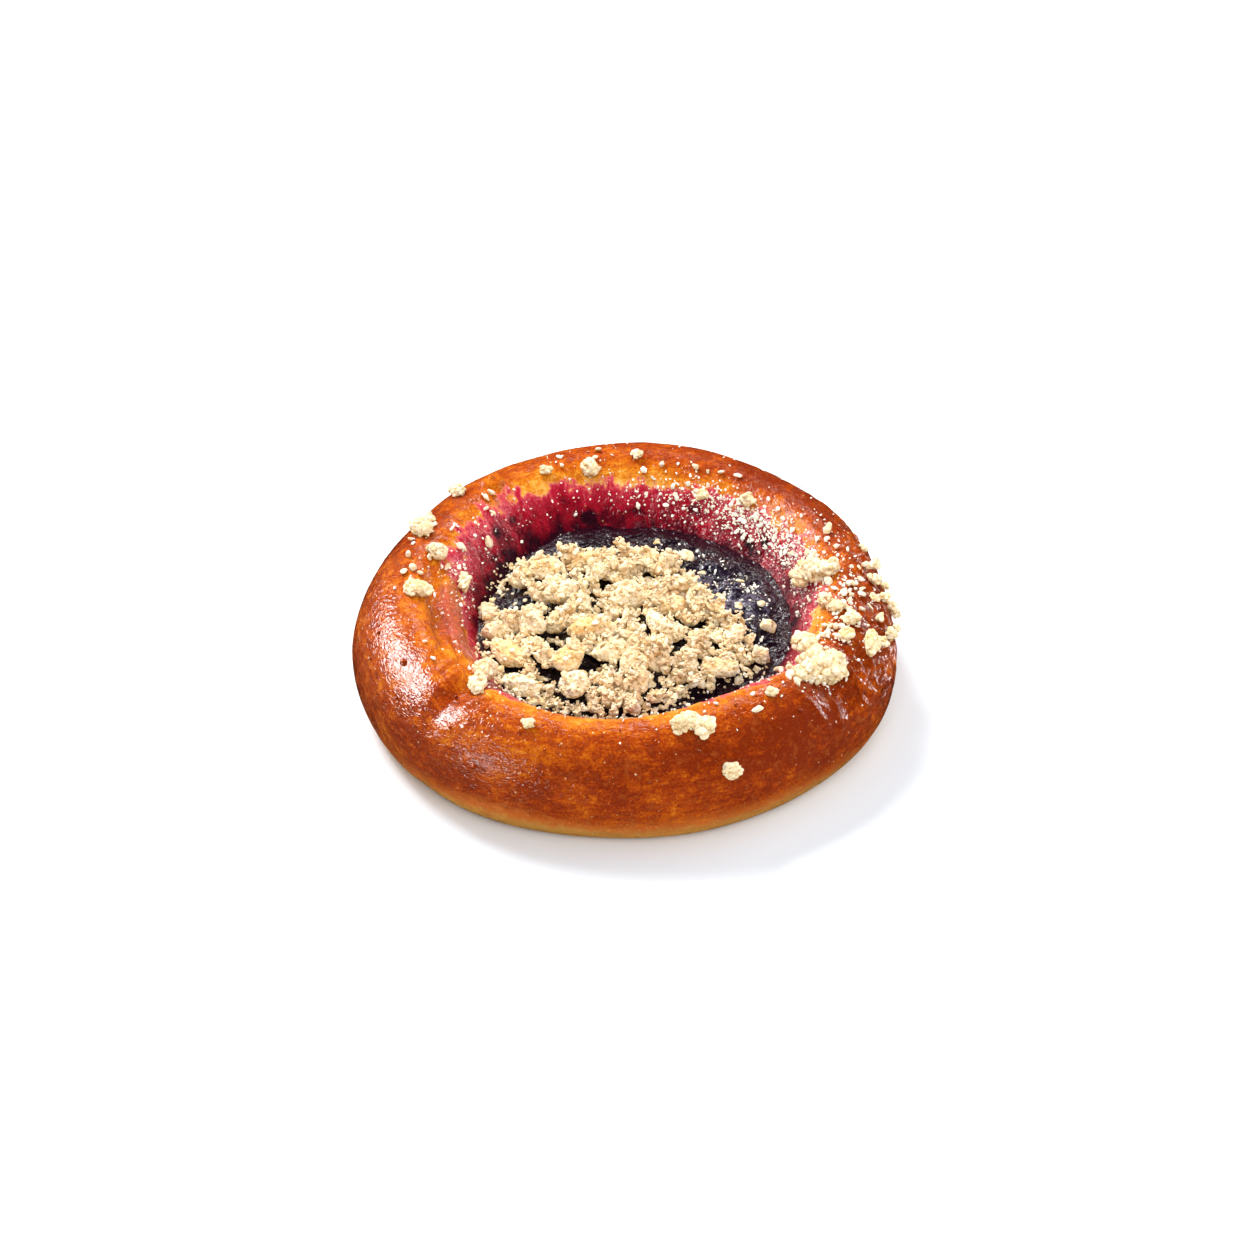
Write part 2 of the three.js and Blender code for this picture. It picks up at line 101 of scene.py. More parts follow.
# A mesh object from points in mm in the drawing's frame, with quads and triangles as index arrays.
def makePiece(name, points, faces, node, material, fields, smooth=True):
    mesh = bpy.data.meshes.new(name)
    packed = (np.asarray(points, float) + frameShift) * mm
    mesh.vertices.add(len(packed))
    mesh.vertices.foreach_set("co", packed.astype(np.float32).ravel())
    sizes = np.concatenate([np.full(len(f), f.shape[1]) for f in faces])
    corners = np.concatenate([f.ravel() for f in faces])
    mesh.loops.add(len(corners))
    mesh.loops.foreach_set("vertex_index", corners.astype(np.int32))
    mesh.polygons.add(len(sizes))
    mesh.polygons.foreach_set("loop_start", (np.cumsum(sizes) - sizes).astype(np.int32))
    mesh.polygons.foreach_set("loop_total", sizes.astype(np.int32))
    mesh.polygons.foreach_set("use_smooth", np.full(len(sizes), smooth))
    mesh.update(calc_edges=True)
    for field, values in fields.items():
        values = np.asarray(values, np.float32)
        kind, key = ("FLOAT", "value") if values.ndim == 1 else ("FLOAT_VECTOR", "vector")
        mesh.attributes.new(field, kind, "POINT").data.foreach_set(key, values.ravel())
    mesh.materials.append(material)
    piece = bpy.data.objects.new(name, mesh)
    bpy.context.scene.collection.objects.link(piece)
    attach(piece, "root")
    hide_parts(node)
    print(f"{name}: {int((sizes - 2).sum())} triangles")


# Faces of a skin over rings of equal length, counter-clockwise from above and from the foot up,
# with one pole point before the first ring and one after the last.
def skinFaces(rings, turns):
    ring, spot = np.meshgrid(np.arange(rings - 1), np.arange(turns), indexing="ij")
    here = 1 + ring * turns + spot
    beside = 1 + ring * turns + (spot + 1) % turns
    quads = np.stack([here, beside, beside + turns, here + turns], -1).reshape(-1, 4)
    around = np.arange(turns)
    after = (around + 1) % turns
    last = 1 + (rings - 1) * turns
    bottom = np.stack([np.zeros(turns, int), 1 + after, 1 + around], -1)
    top = np.stack([last + around, last + after, np.full(turns, 1 + rings * turns)], -1)
    return [quads, np.concatenate([bottom, top])]


# Outward normals of a rings-by-turns grid: the cross product of the steps round and along it.
def gridNormals(grid):
    roundStep = np.roll(grid, -1, 1) - np.roll(grid, 1, 1)
    alongStep = np.gradient(grid, axis=0)
    normal = np.cross(roundStep, alongStep)
    return normal / np.maximum(np.linalg.norm(normal, axis=-1, keepdims=True), 1e-9)


# A unit ball's points and triangles, read whole from Blender's icosphere.
def ballOf(level):
    maker = bmesh.new()
    bmesh.ops.create_icosphere(maker, subdivisions=level, radius=1)
    mesh = bpy.data.meshes.new("ball")
    maker.to_mesh(mesh)
    maker.free()
    points = np.empty(3 * len(mesh.vertices), np.float32)
    corners = np.empty(len(mesh.loops), np.int32)
    mesh.vertices.foreach_get("co", points)
    mesh.loops.foreach_get("vertex_index", corners)
    bpy.data.meshes.remove(mesh)
    return points.reshape(-1, 3).astype(float), corners.reshape(-1, 3).astype(int)


ballLevels = {level: ballOf(level) for level in (1, 2, 3, 4, 5)}


# So many turns in radians, spread evenly round the ring.
def evenTurns(count):
    return np.arange(count) / count * fullTurn


# Sum of waves round the ring: size times the cosine of count times the angle, from its peak.
def waveSum(turn, waves):
    return sum(size * np.cos(count * turn - math.radians(peak)) for count, size, peak in waves)


# A hump round a place given in turn (degrees) and step: a bell curve with half widths in the same units.
def hump(turnDeg, step, atTurn, atStep, halfTurn, halfStep):
    away = (turnDeg - atTurn + 180) % 360 - 180
    return np.exp(-((away / halfTurn) ** 2) - ((step - atStep) / halfStep) ** 2)


# A hump round a turn alone, the same at every step.
def turnHump(turnDeg, atTurn, halfTurn):
    return hump(turnDeg, 0, atTurn, 0, halfTurn, 1)


# Smooth step: 0 below low, 1 above high, and 3t^2 - 2t^3 between them.
def fade(value, low, high):
    share = np.clip((value - low) / (high - low), 0, 1)
    return share * share * (3 - 2 * share)


usualRange = (0.3, 0.7)  # most of a noise texture's values lie between these


# A colour as seen on a screen, 0 to 255, made linear by the screen's own curve.
def screenColour(red, green, blue):
    shares = [c / 255 for c in (red, green, blue)]
    return tuple(c / 12.92 if c <= 0.04045 else ((c + 0.055) / 1.055) ** 2.4 for c in shares) + (1.0,)


# A shader node with its settings; a feed is a link where it is another node's output, and else a value.
def addNode(tree, kind, feeds=None, **settings):
    made = tree.nodes.new("ShaderNode" + kind)
    for name, value in settings.items():
        setattr(made, name, value)
    for socket, source in (feeds or {}).items():
        if isinstance(source, bpy.types.NodeSocket):
            tree.links.new(source, made.inputs[socket])
        else:
            made.inputs[socket].default_value = source
    return made


# One sum of two values, such as ADD or MULTIPLY.
def mathNode(tree, operation, first, second):
    return addNode(tree, "Math", {0: first, 1: second}, operation=operation).outputs[0]


# A colour picked from a list of stops by a value from 0 to 1, straight between the stops.
def rampNode(tree, factor, stops):
    made = addNode(tree, "ValToRGB", {"Fac": factor})
    elements = made.color_ramp.elements
    while len(elements) < len(stops):
        elements.new(0.5)
    for element, (place, colour) in zip(elements, stops):
        element.position = place
        element.color = screenColour(*colour)
    return made.outputs["Color"]


# Two colours mixed by a factor: first at 0 and second, or its blend with first, at 1.
def mixNode(tree, factor, first, second, blend="MIX"):
    made = addNode(tree, "Mix", {0: factor, 6: first, 7: second}, data_type="RGBA", blend_type=blend)
    return made.outputs[2]


# A value's span from low to high made toLow to toHigh, and held at those beyond it.
def spanNode(tree, value, low, high, toLow=0.0, toHigh=1.0):
    feeds = {"Value": value, "From Min": low, "From Max": high, "To Min": toLow, "To Max": toHigh}
    return addNode(tree, "MapRange", feeds).outputs["Result"]


# A value plus a pattern whose usual range has been made low to high.
def swayNode(tree, value, pattern, low, high):
    return mathNode(tree, "ADD", value, spanNode(tree, pattern, *usualRange, low, high))


# A plain colour laid over another where a value runs through a span.
def tintNode(tree, under, value, span, colour):
    return mixNode(tree, spanNode(tree, value, *span), under, screenColour(*colour))


# Noise with so many cells per metre.
def noiseNode(tree, place, perMetre, detail, rough, twist=0.0):
    feeds = {"Vector": place, "Scale": perMetre, "Detail": detail, "Roughness": rough, "Distortion": twist}
    return addNode(tree, "TexNoise", feeds).outputs["Fac"]


# Round dots, one to a cell: 1 inside the inner radius and 0 past the outer, times the span of a patch noise.
def dotNode(tree, place, patch, perMetre, outer, inner, *patchSpan):
    cells = addNode(tree, "TexVoronoi", {"Vector": place, "Scale": perMetre}, feature="F1")
    dots = spanNode(tree, cells.outputs["Distance"], outer, inner)
    return mathNode(tree, "MULTIPLY", dots, spanNode(tree, patch, *patchSpan))


# A field that a piece carries on its points.
def fieldNode(tree, name, output="Fac"):
    return addNode(tree, "Attribute", attribute_name=name).outputs[output]


# A bump from a height pattern, over another normal if given: size is its strength and its height in metres.
def bumpNode(tree, height, size, under=None):
    feeds = {"Height": height, "Strength": size[0], "Distance": size[1]}
    if under is not None:
        feeds["Normal"] = under
    return addNode(tree, "Bump", feeds).outputs["Normal"]


# A new material with a look's constant values, and the place in the object that its patterns read.
def newMaterial(name, look):
    material = bpy.data.materials.new(name)
    material.use_nodes = True
    tree = material.node_tree
    shader = tree.nodes["Principled BSDF"]
    shader.inputs["Roughness"].default_value = look["roughness"]
    shader.inputs["Coat Weight"].default_value = look.get("coat", 0.0)
    shader.inputs["Coat Roughness"].default_value = look.get("coatRoughness", 0.1)
    shader.inputs["Specular IOR Level"].default_value = look["gloss"]
    return material, tree, shader, addNode(tree, "TexCoord").outputs["Object"]


crustLook = {
    "paleToDark": [
        (0.0, (236, 186, 112)), (0.2, (228, 156, 58)), (0.4, (207, 122, 26)), (0.6, (186, 90, 9)),
        (0.8, (160, 60, 5)), (1.0, (124, 38, 4)),
    ],
    "juice": [
        (0.0, (228, 150, 120)), (0.1, (208, 82, 88)), (0.25, (182, 26, 52)), (0.5, (156, 8, 34)),
        (0.75, (104, 4, 24)), (1.0, (42, 4, 20)),
    ],
    # tints: the span of their field in which they come in, and the colour
    "nearFoot": ((0.05, 0.5, 0.0, 0.85), (196, 104, 40)),
    "proofLine": ((0.5, 1.0), (204, 146, 66)),
    "rosyFold": ((0.15, 0.9, 0.0, 0.75), (182, 84, 66)),
    # painted glint: the pale cream of dots that stand in for the egg wash's sparkle
    "paintedGlint": ((0.0, 1.0, 0.0, 0.65), (250, 220, 165)),
    "roughness": 0.5,
    "roughSway": (-0.1, 0.12),
    "coat": 0.9,
    "coatRoughness": 0.07,
    "gloss": 0.04,
    # noises: stretch along the section, cells per metre, detail, roughness, twist; no stretch means in space
    "patterns": {
        "broad": (None, 130, 2, 0.6),
        "mottle": (None, 520, 3, 0.65, 0.4),
        "fine": (None, 2300, 2, 0.5),
        "flow": (4.0, 11, 3, 0.62, 0.6),
        "streak": (0.42, 9, 4, 0.65, 0.9),
        "vein": (0.42, 42, 2, 0.6, 1.0),
        "fold": (0.8, 26, 2, 0.5, 1.6),
        "blotch": (None, 260, 3, 0.6, 0.8),
        "wrinkle": (1.6, 34, 1.5, 0.55, 1.2),
        "pore": (None, 900, 1.5, 0.5),
        "pitPatch": (None, 160, 2, 0.5),
        "paintedGlintPatch": (None, 90, 2, 0.5),
    },
    "brownSway": {"broad": 0.12, "flow": 0.12, "mottle": 0.16, "fine": 0.14},
    "stainSway": {"streak": 0.2, "vein": 0.06, "blotch": 0.2, "mottle": 0.07},
    "proofSway": 0.22,
    "rosySway": (0.4, 1.4),
    # dots: cells per metre, outer and inner radius, and the span of the patch noise
    "pits": (620.0, 0.22, 0.1, 0.45, 0.6),
    # painted glints: pale dots that stand in for the sparkle of the egg wash's pores
    "paintedGlints": (430.0, 0.1, 0.06, 0.4, 0.62),
    "finePaintedGlints": (800.0, 0.1, 0.06, 0.42, 0.6),
    "pitBrown": 0.16,
    "finePaintedGlintShare": 0.7,
    # bumps: strength, and height in metres
    "wallBump": (0.9, 0.0008),
    "wrinkleBump": (0.9, 0.00025),
    "poreBump": (0.6, 0.0001),
}


# The crust's noises by name, each in space or along the ring as its first value says.
def crustPatterns(tree, place):
    ringPlace = fieldNode(tree, "ringPlace", "Vector")
    made = {}
    for name, (stretch, *noise) in crustLook["patterns"].items():
        source = place
        if stretch:
            source = addNode(tree, "Mapping", {"Vector": ringPlace, "Scale": (1.0, 1.0, stretch)}).outputs[0]
        made[name] = noiseNode(tree, source, *noise)
    return made


# The clear coat: egg wash where the crust is baked brown and the glaze field allows it, and wet juice on the
# stain and the rosy fold, less where the juice is darkest; the larger of the two counts.
def crustCoat(tree, bake, stain, rosy):
    coat = crustLook["coat"]
    washed = mathNode(tree, "MULTIPLY", spanNode(tree, bake, 0.5, 0.82, 0.15, coat), fieldNode(tree, "glaze"))
    wet = mathNode(tree, "ADD", stain, mathNode(tree, "MULTIPLY", rosy, 0.3))
    wet = spanNode(tree, wet, 0.05, 0.25, 0.0, coat)
    wet = mathNode(tree, "MULTIPLY", wet, spanNode(tree, stain, 0.45, 0.9, 1.0, 0.12))
    return mathNode(tree, "MAXIMUM", washed, wet)


# Egg-washed crust. The bake field picks a brown, the proof field the pale foot, and the stain field a berry
# colour, each swayed by noises; pale painted glints lie over all, and folds, wrinkles and pores are bumps.
def crustMaterial():
    look = crustLook
    material, tree, shader, place = newMaterial("eggWashedCrust", look)
    pattern = crustPatterns(tree, place)
    bake, stain = fieldNode(tree, "bake"), fieldNode(tree, "stain")
    onWall = mathNode(tree, "MAXIMUM", spanNode(tree, stain, 0.0, 0.3), fieldNode(tree, "rosy"))
    for name, reach in look["brownSway"].items():
        bake = swayNode(tree, bake, pattern[name], -reach, reach)
    for name, reach in look["stainSway"].items():
        stain = swayNode(tree, stain, pattern[name], -reach, reach)
    pits = dotNode(tree, place, pattern["pitPatch"], *look["pits"])
    bake = mathNode(tree, "ADD", bake, mathNode(tree, "MULTIPLY", pits, look["pitBrown"]))
    proof = swayNode(tree, fieldNode(tree, "proof"), pattern["mottle"], -look["proofSway"], look["proofSway"])
    streaked = spanNode(tree, pattern["streak"], *usualRange, *look["rosySway"])
    rosy = mathNode(tree, "MULTIPLY", fieldNode(tree, "rosy"), streaked)
    # Painted glints: pale dots laid into the colour for the egg wash's sparkle.
    paintedGlints = dotNode(tree, place, pattern["paintedGlintPatch"], *look["paintedGlints"])
    finePaintedGlints = dotNode(tree, place, pattern["broad"], *look["finePaintedGlints"])
    finePaintedGlints = mathNode(tree, "MULTIPLY", finePaintedGlints, look["finePaintedGlintShare"])
    paintedGlints = mathNode(tree, "MAXIMUM", paintedGlints, finePaintedGlints)
    colour = rampNode(tree, bake, look["paleToDark"])
    colour = tintNode(tree, colour, proof, *look["nearFoot"])
    colour = tintNode(tree, colour, proof, *look["proofLine"])
    colour = tintNode(tree, colour, rosy, *look["rosyFold"])
    colour = mixNode(tree, spanNode(tree, stain, -0.02, 0.1), colour, rampNode(tree, stain, look["juice"]))
    colour = tintNode(tree, colour, paintedGlints, *look["paintedGlint"])
    tree.links.new(colour, shader.inputs["Base Color"])
    rough = swayNode(tree, look["roughness"], pattern["mottle"], *look["roughSway"])
    tree.links.new(rough, shader.inputs["Roughness"])
    tree.links.new(crustCoat(tree, bake, stain, rosy), shader.inputs["Coat Weight"])
    normal = bumpNode(tree, mathNode(tree, "MULTIPLY", pattern["fold"], onWall), look["wallBump"])
    normal = bumpNode(tree, pattern["wrinkle"], look["wrinkleBump"], normal)
    normal = bumpNode(tree, mathNode(tree, "SUBTRACT", pattern["pore"], pits), look["poreBump"], normal)
    tree.links.new(normal, shader.inputs["Normal"])
    tree.links.new(normal, shader.inputs["Coat Normal"])
    return material


fillingLook = {
    # near black to the grey of worn berry skin and painted sheen
    "deepToWornSheen": [
        (0.0, (6, 2, 8)), (0.4, (13, 6, 16)), (0.7, (28, 19, 34)), (1.0, (104, 96, 116)),
    ],
    "atWall": (36, 4, 18),
    "gloss": 0.06,
    "roughness": 0.4,
    "coat": 1.0,
    "coatRoughness": 0.05,
    "crease": (620, 3, 0.65, 1.4),
    "creaseSway": (-0.25, 0.25),
    "ripple": (560, 2, 0.5, 1.6),
    "rippleBump": (1.0, 0.00038),
    "fine": (1500, 1, 0.5),
    "fineBump": (0.5, 0.00004),
}


# Wet cooked berries: near black, greyer where the skin field and a crease noise are high, under a wet coat;
# the grey is partly worn berry skin and partly painted sheen.
def fillingMaterial():
    look = fillingLook
    material, tree, shader, place = newMaterial("wetBerryFilling", look)
    crease = noiseNode(tree, place, *look["crease"])
    wornAndSheen = swayNode(tree, fieldNode(tree, "skin"), crease, *look["creaseSway"])
    jam = rampNode(tree, wornAndSheen, look["deepToWornSheen"])
    jam = mixNode(tree, fieldNode(tree, "nearWall"), jam, screenColour(*look["atWall"]))
    tree.links.new(jam, shader.inputs["Base Color"])
    normal = bumpNode(tree, noiseNode(tree, place, *look["ripple"]), look["rippleBump"])
    normal = bumpNode(tree, noiseNode(tree, place, *look["fine"]), look["fineBump"], normal)
    tree.links.new(normal, shader.inputs["Normal"])
    tree.links.new(normal, shader.inputs["Coat Normal"])
    return material


streuselLook = {
    "paintedShadeToLit": [
        # painted shade: tan where shaded, cream where lit
        (0.0, (138, 98, 56)), (0.25, (200, 164, 110)), (0.5, (232, 206, 158)), (0.75, (248, 232, 198)),
        (1.0, (255, 250, 234)),
    ],
    "toasted": (244, 200, 124),
    "toastShare": 0.8,
    "toastSpan": (0.2, 0.85, 0.0, 0.9),
    "gloss": 0.2,
    "roughness": 0.85,
    "grain": (1300, 3, 0.65),
    "patch": (260, 3, 0.55),
    "balls": 2000.0,  # tiny butter and flour balls per metre
    # painted shade between the tiny balls: lighter at their middles, darker where they meet
    "ballLight": (0.2, 0.75, 0.08, -0.14),
    "grainLight": (-0.1, 0.12),
    "patchLight": (-0.1, 0.1),
    "grainToast": (-0.12, 0.12),
    "patchToast": (-0.25, 0.25),
    "ballBump": (0.5, 0.0003),
    "grainBump": (0.5, 0.0002),
}


# Baked crumb topping: the height field, a painted shade darker in the crevices and low on each lump, picks
# tan to cream, swayed by noises; the toast field multiplies it by gold where the oven caught it.
def streuselMaterial():
    look = streuselLook
    material, tree, shader, place = newMaterial("crumbTopping", look)
    grain = noiseNode(tree, place, *look["grain"])
    patch = noiseNode(tree, place, *look["patch"])
    feeds = {"Vector": place, "Scale": look["balls"], "Smoothness": 0.25}
    balls = addNode(tree, "TexVoronoi", feeds, feature="SMOOTH_F1").outputs["Distance"]
    # Painted shade: the height field is darker in crevices and low on each lump, and the balls darken where
    # they meet.
    light = swayNode(tree, fieldNode(tree, "height"), grain, *look["grainLight"])
    light = mathNode(tree, "ADD", light, spanNode(tree, balls, *look["ballLight"]))
    light = swayNode(tree, light, patch, *look["patchLight"])
    cream = rampNode(tree, light, look["paintedShadeToLit"])
    toast = swayNode(tree, fieldNode(tree, "toast"), patch, *look["patchToast"])
    toast = spanNode(tree, swayNode(tree, toast, grain, *look["grainToast"]), *look["toastSpan"])
    golden = mixNode(tree, look["toastShare"], cream, screenColour(*look["toasted"]), "MULTIPLY")
    tree.links.new(mixNode(tree, toast, cream, golden), shader.inputs["Base Color"])
    normal = bumpNode(tree, mathNode(tree, "SUBTRACT", 1.0, balls), look["ballBump"])
    tree.links.new(bumpNode(tree, grain, look["grainBump"], normal), shader.inputs["Normal"])
    return material


crust = crustMaterial()
berryFilling = fillingMaterial()
crumbTopping = streuselMaterial()
print("materials ready")

bun = {
    "radius": 53.9,  # mean outline, at the widest height
    "crest": 25.0,
    "bulge": 10.8,  # height at which it is widest
    "foot": 5.7,  # how far the foot stands in
    "turns": 720,
    "footRows": 22,
    "flankRows": 52,
    "wallRows": 52,
    "toeRows": 6,
    "toeFrom": 3.66,  # step at which the wall's rows end and the toe's begin
    "creaseFrom": 9.0,  # height over which the creases come in
    "creaseFade": 6.0,
    "lumps": 0.32,  # low swells of the risen dough
    "lumpSize": 13,
    "lumpLow": 0.9,  # what keeps them inside the outline
    "lumpFade": (1.05, 1.5),  # steps over which they come in
    "flankFade": (9, 14),  # heights over which the fine creases come in
    "toeFade": (3.75, 4),  # steps over which the wall's ridges go out
    "wallRidge": 0.28,
    "wallRidgeSize": 1.9,
    "wallRound": 34,  # radius on which the ridges are drawn, and mm to a step
    "wallStep": 2.5,
    "blister": 3.0,
    "blisterSize": 3.0,
    "ringUnit": 45,  # mm to one unit of the ringPlace field
}

well = {
    "x": 2.0,
    "y": -0.8,
    "toe": 20.0,
    "floor": 8.0,
    "crestAt": 0.675,  # shares of the way from the toe to the outline
    "lipAt": 0.425,
    "wallAt": 0.352,
}

wellMiddle = np.array([well["x"], well["y"]])

# Waves round the ring: how many, size, heading of their peak in degrees.
outlineWaves = [(1, 0.65, -87), (2, 0.71, 59), (3, 0.96, -81), (5, 0.12, -142), (7, 0.26, -157)]
crestWaves = [(1, 0.5, 100), (2, 0.5, 20), (3, 0.35, 160), (5, 0.25, 40)]
wallWaves = [(2, 0.5, 150), (3, 0.7, 10), (5, 0.5, 200)]

# Folds and dents that the solid has too: x, y, half length, half width, heading in degrees, height.
creases = [
    (-30.5, -32, 7, 2.6, 222, -2.6), (-36.5, -9, 13, 1.5, 97, -1.6), (-33.2, -9, 11, 2, 97, 0.9),
    (37.5, -26.5, 6.5, 4.5, -20, -2.4), (43.5, -25, 7, 1.3, -55, 1.3), (-27.5, 32, 2.4, 1.9, 30, 1.5),
]

# Finer ones, which only this script adds.
fineCreases = [
    (40, 28, 14, 0.7, -52, -0.5), (24, 40, 9, 0.6, -28, -0.4), (27, 37, 3.2, 0.5, 60, -0.5),
    (25, 38, 3, 0.5, 5, -0.5), (-24.5, -36, 5, 0.8, 200, -0.5), (-33, -26, 5, 0.9, 235, -0.6),
    (-37, -20, 6, 0.8, 250, 0.4), (46, -14, 6, 0.7, -75, 0.6), (47.5, -6, 5, 0.6, -80, 0.5),
    (44.5, -18, 5, 0.6, -50, -0.6), (-35.9, 0.5, 6, 0.5, 94, -0.6), (-34.8, -9.5, 7, 0.5, 99, -0.7),
    (-32.6, -20, 6, 0.5, 106, -0.6), (40, -31.4, 3.4, 0.6, -60, 0.8), (35.5, -34.6, 4, 0.6, -25, 0.6),
    (46.6, -27, 4, 0.7, -70, 0.6),
]

# Blistered parts of the crust: amount, turn in degrees, step, half widths.
roughPatches = [(1.0, 2, 2.5, 26, 0.4), (0.8, 335, 2.5, 16, 0.4), (0.45, 200, 3.3, 20, 0.14)]

# The knob of dough at the back left, with rings of wrinkles round it.
knob = {"x": -27.5, "y": 32, "wrinkle": 0.22, "perMm": 3.2, "reach": 12}


# How far plan places lie along and across a heading in degrees, from a place.
def alongAcross(x, y, atX, atY, heading):
    c, s = math.cos(math.radians(heading)), math.sin(math.radians(heading))
    return (x - atX) * c + (y - atY) * s, (y - atY) * c - (x - atX) * s


# Height of the folds over a plan place: each is a bell curve along its heading and a narrower one across it.
def creaseHeight(x, y, folds):
    height = 0
    for atX, atY, long, wide, heading, size in folds:
        along, across = alongAcross(x, y, atX, atY, heading)
        height = height + size * np.exp(-((along / long) ** 2) - (across / wide) ** 2)
    return height


# The crust at an angle round the ring and a step along its section: 1 foot, 2 widest outline, 3 crest, 4 toe
# of the well. Two quarter ellipses rise to the crest, and a cubic curve with two handles falls to the toe.
def crustPoint(turn, step):
    turn, step = np.broadcast_arrays(np.asarray(turn, float), np.asarray(step, float))
    way = np.stack([np.cos(turn), np.sin(turn)], -1)
    outer = way * (bun["radius"] + waveSum(turn, outlineWaves))[..., None]
    toe = way * well["toe"] + wellMiddle
    span = bun["radius"] - well["toe"]
    crest = bun["crest"] + waveSum(turn, crestWaves)
    wallShift = waveSum(turn, wallWaves) / span
    crestAt = well["crestAt"] + wallShift / 2
    footSwing = (np.clip(step, 1, 2) - 1) * math.pi / 2
    domeSwing = (np.clip(step, 2, 3) - 2) * math.pi / 2
    down = np.clip(step - 3, 0, 1)
    up = 1 - down
    share = np.where(
        step <= 2,
        1 - bun["foot"] / span * (1 - np.sin(footSwing)),
        crestAt + (1 - crestAt) * np.cos(domeSwing),
    )
    z = np.where(
        step <= 2,
        bun["bulge"] * (1 - np.cos(footSwing)),
        bun["bulge"] + (crest - bun["bulge"]) * np.sin(domeSwing),
    )
    lipAt = well["lipAt"] + wallShift
    wallAt = well["wallAt"] + wallShift
    wallShare = crestAt * up**3 + 3 * lipAt * down * up**2 + 3 * wallAt * down**2 * up
    wallZ = crest * (up**3 + 3 * down * up**2) + well["floor"] * (3 * down**2 * up + down**3)
    share = np.where(step > 3, wallShare, share)
    z = np.where(step > 3, wallZ, z)
    plan = toe + (outer - toe) * share[..., None]
    core = toe + (outer - toe) * well["crestAt"]
    point = np.concatenate([plan, z[..., None]], -1)
    outward = point - np.concatenate([core, np.full(z.shape + (1,), bun["bulge"])], -1)
    outward /= np.maximum(np.linalg.norm(outward, axis=-1, keepdims=True), 1e-9)
    rise = np.clip((z - bun["creaseFrom"]) / bun["creaseFade"], 0, 1)
    lift = rise * creaseHeight(plan[..., 0], plan[..., 1], creases)
    return point + outward * lift[..., None]


# The crust's outward normal: the cross product of a small step round the ring and one along the section.
def crustNormal(turn, step):
    small = 0.01
    ahead = np.minimum(step + small, 4)
    roundStep = crustPoint(turn + small, step) - crustPoint(turn, step)
    alongStep = crustPoint(turn, ahead) - crustPoint(turn, ahead - small)
    normal = np.cross(roundStep, alongStep)
    return normal / np.linalg.norm(normal, axis=-1, keepdims=True)


# Where the berry juice ends on the wall: turn in degrees, step.
stainEdge = [
    (20, 3.21), (40, 3.235), (60, 3.25), (80, 3.27), (100, 3.26), (120, 3.19), (135, 3.18), (150, 3.1),
    (160, 3.14), (172, 3.22), (182, 3.34), (194, 3.44), (210, 3.34), (225, 3.15), (236, 3.1), (248, 3.17),
    (262, 3.22), (275, 3.23), (286, 3.18), (300, 3.1), (318, 3.14), (330, 3.18), (345, 3.34), (352, 3.28),
    (358, 3.21),
]

# Bits of dark berry skin on the wall: turn, step, half width in degrees.
skinPatches = [
    (133, 3.35, 2.2), (142, 3.35, 1.6), (106, 3.5, 2.6), (68, 3.42, 2.4), (44, 3.51, 3.2), (38, 3.44, 2),
]

# Where the stain is paler, and how dark the crust is baked at each step, and where more or less: the patches
# are amount, turn, step, half widths.
stainPatches = [(-0.2, 188, 3.36, 18, 0.12), (-0.2, 158, 3.42, 26, 0.16)]
bakeLevels = [
    (1, 0.35), (1.3, 0.5), (1.5, 0.68), (1.8, 0.8), (2.1, 0.86), (2.4, 0.86), (2.7, 0.82), (2.9, 0.75),
    (3.0, 0.68), (3.1, 0.56), (3.2, 0.38), (3.35, 0.16),
]
bakePatches = [
    (0.16, 40, 3.1, 45, 0.22), (-0.1, 262, 3.05, 40, 0.14), (0.08, 140, 3.05, 30, 0.2),
    (0.16, 300, 2.45, 30, 0.35), (0.1, 318, 2.8, 14, 0.2), (0.16, 48, 2.85, 32, 0.35),
    (-0.04, 186, 2.4, 34, 0.4), (-0.12, 338, 2.2, 18, 0.35), (0.1, 355, 2.75, 22, 0.3),
    (-0.16, 243, 2.5, 13, 0.24), (0.42, 198, 3.32, 26, 0.16), (0.12, 55, 3.0, 38, 0.2),
]

tones = {
    "frontTurn": 275,  # the side whose flank is darker, partly by its baking and partly painted shade
    "frontDark": 0.07,
    "uneven": 0.13,
    "unevenSize": 16,
    "stainReach": 0.37,  # steps from the stain's edge to its darkest
    "stainWider": (0.13, 28, 42),  # what that gains round a turn
    "stainWaves": ((9, 31, 0.02), (3.5, 32, 0.015)),  # noise size, seed, depth
    "skinDark": 0.6,
    "skinHalf": 0.035,
    "unglazed": (80, 2.98, 75, 0.28),  # where the egg wash is thin: turn, step, half widths
    "glazeLoss": 0.8,
}

# The pale band over the foot.
proofBand = {
    "top": 1.5,  # step at which it ends
    "fade": (-0.34, 0.24),
    "tilt": (0.1, 305),  # how much higher it ends, and at what turn
    "wave": (0.05, 12),  # depth and size of its noise
    "rise": (0.14, 236, 24),
}

# The rosy fold at the left of the wall.
rosyFold = {
    "ridge": (192, 3.34, 24, 0.09),
    "within": (192, 3.34, 30, 0.13),
    "withinFade": (0.1, 0.4),
    "strength": 1.6,
    "wave": (0.25, 3),
}


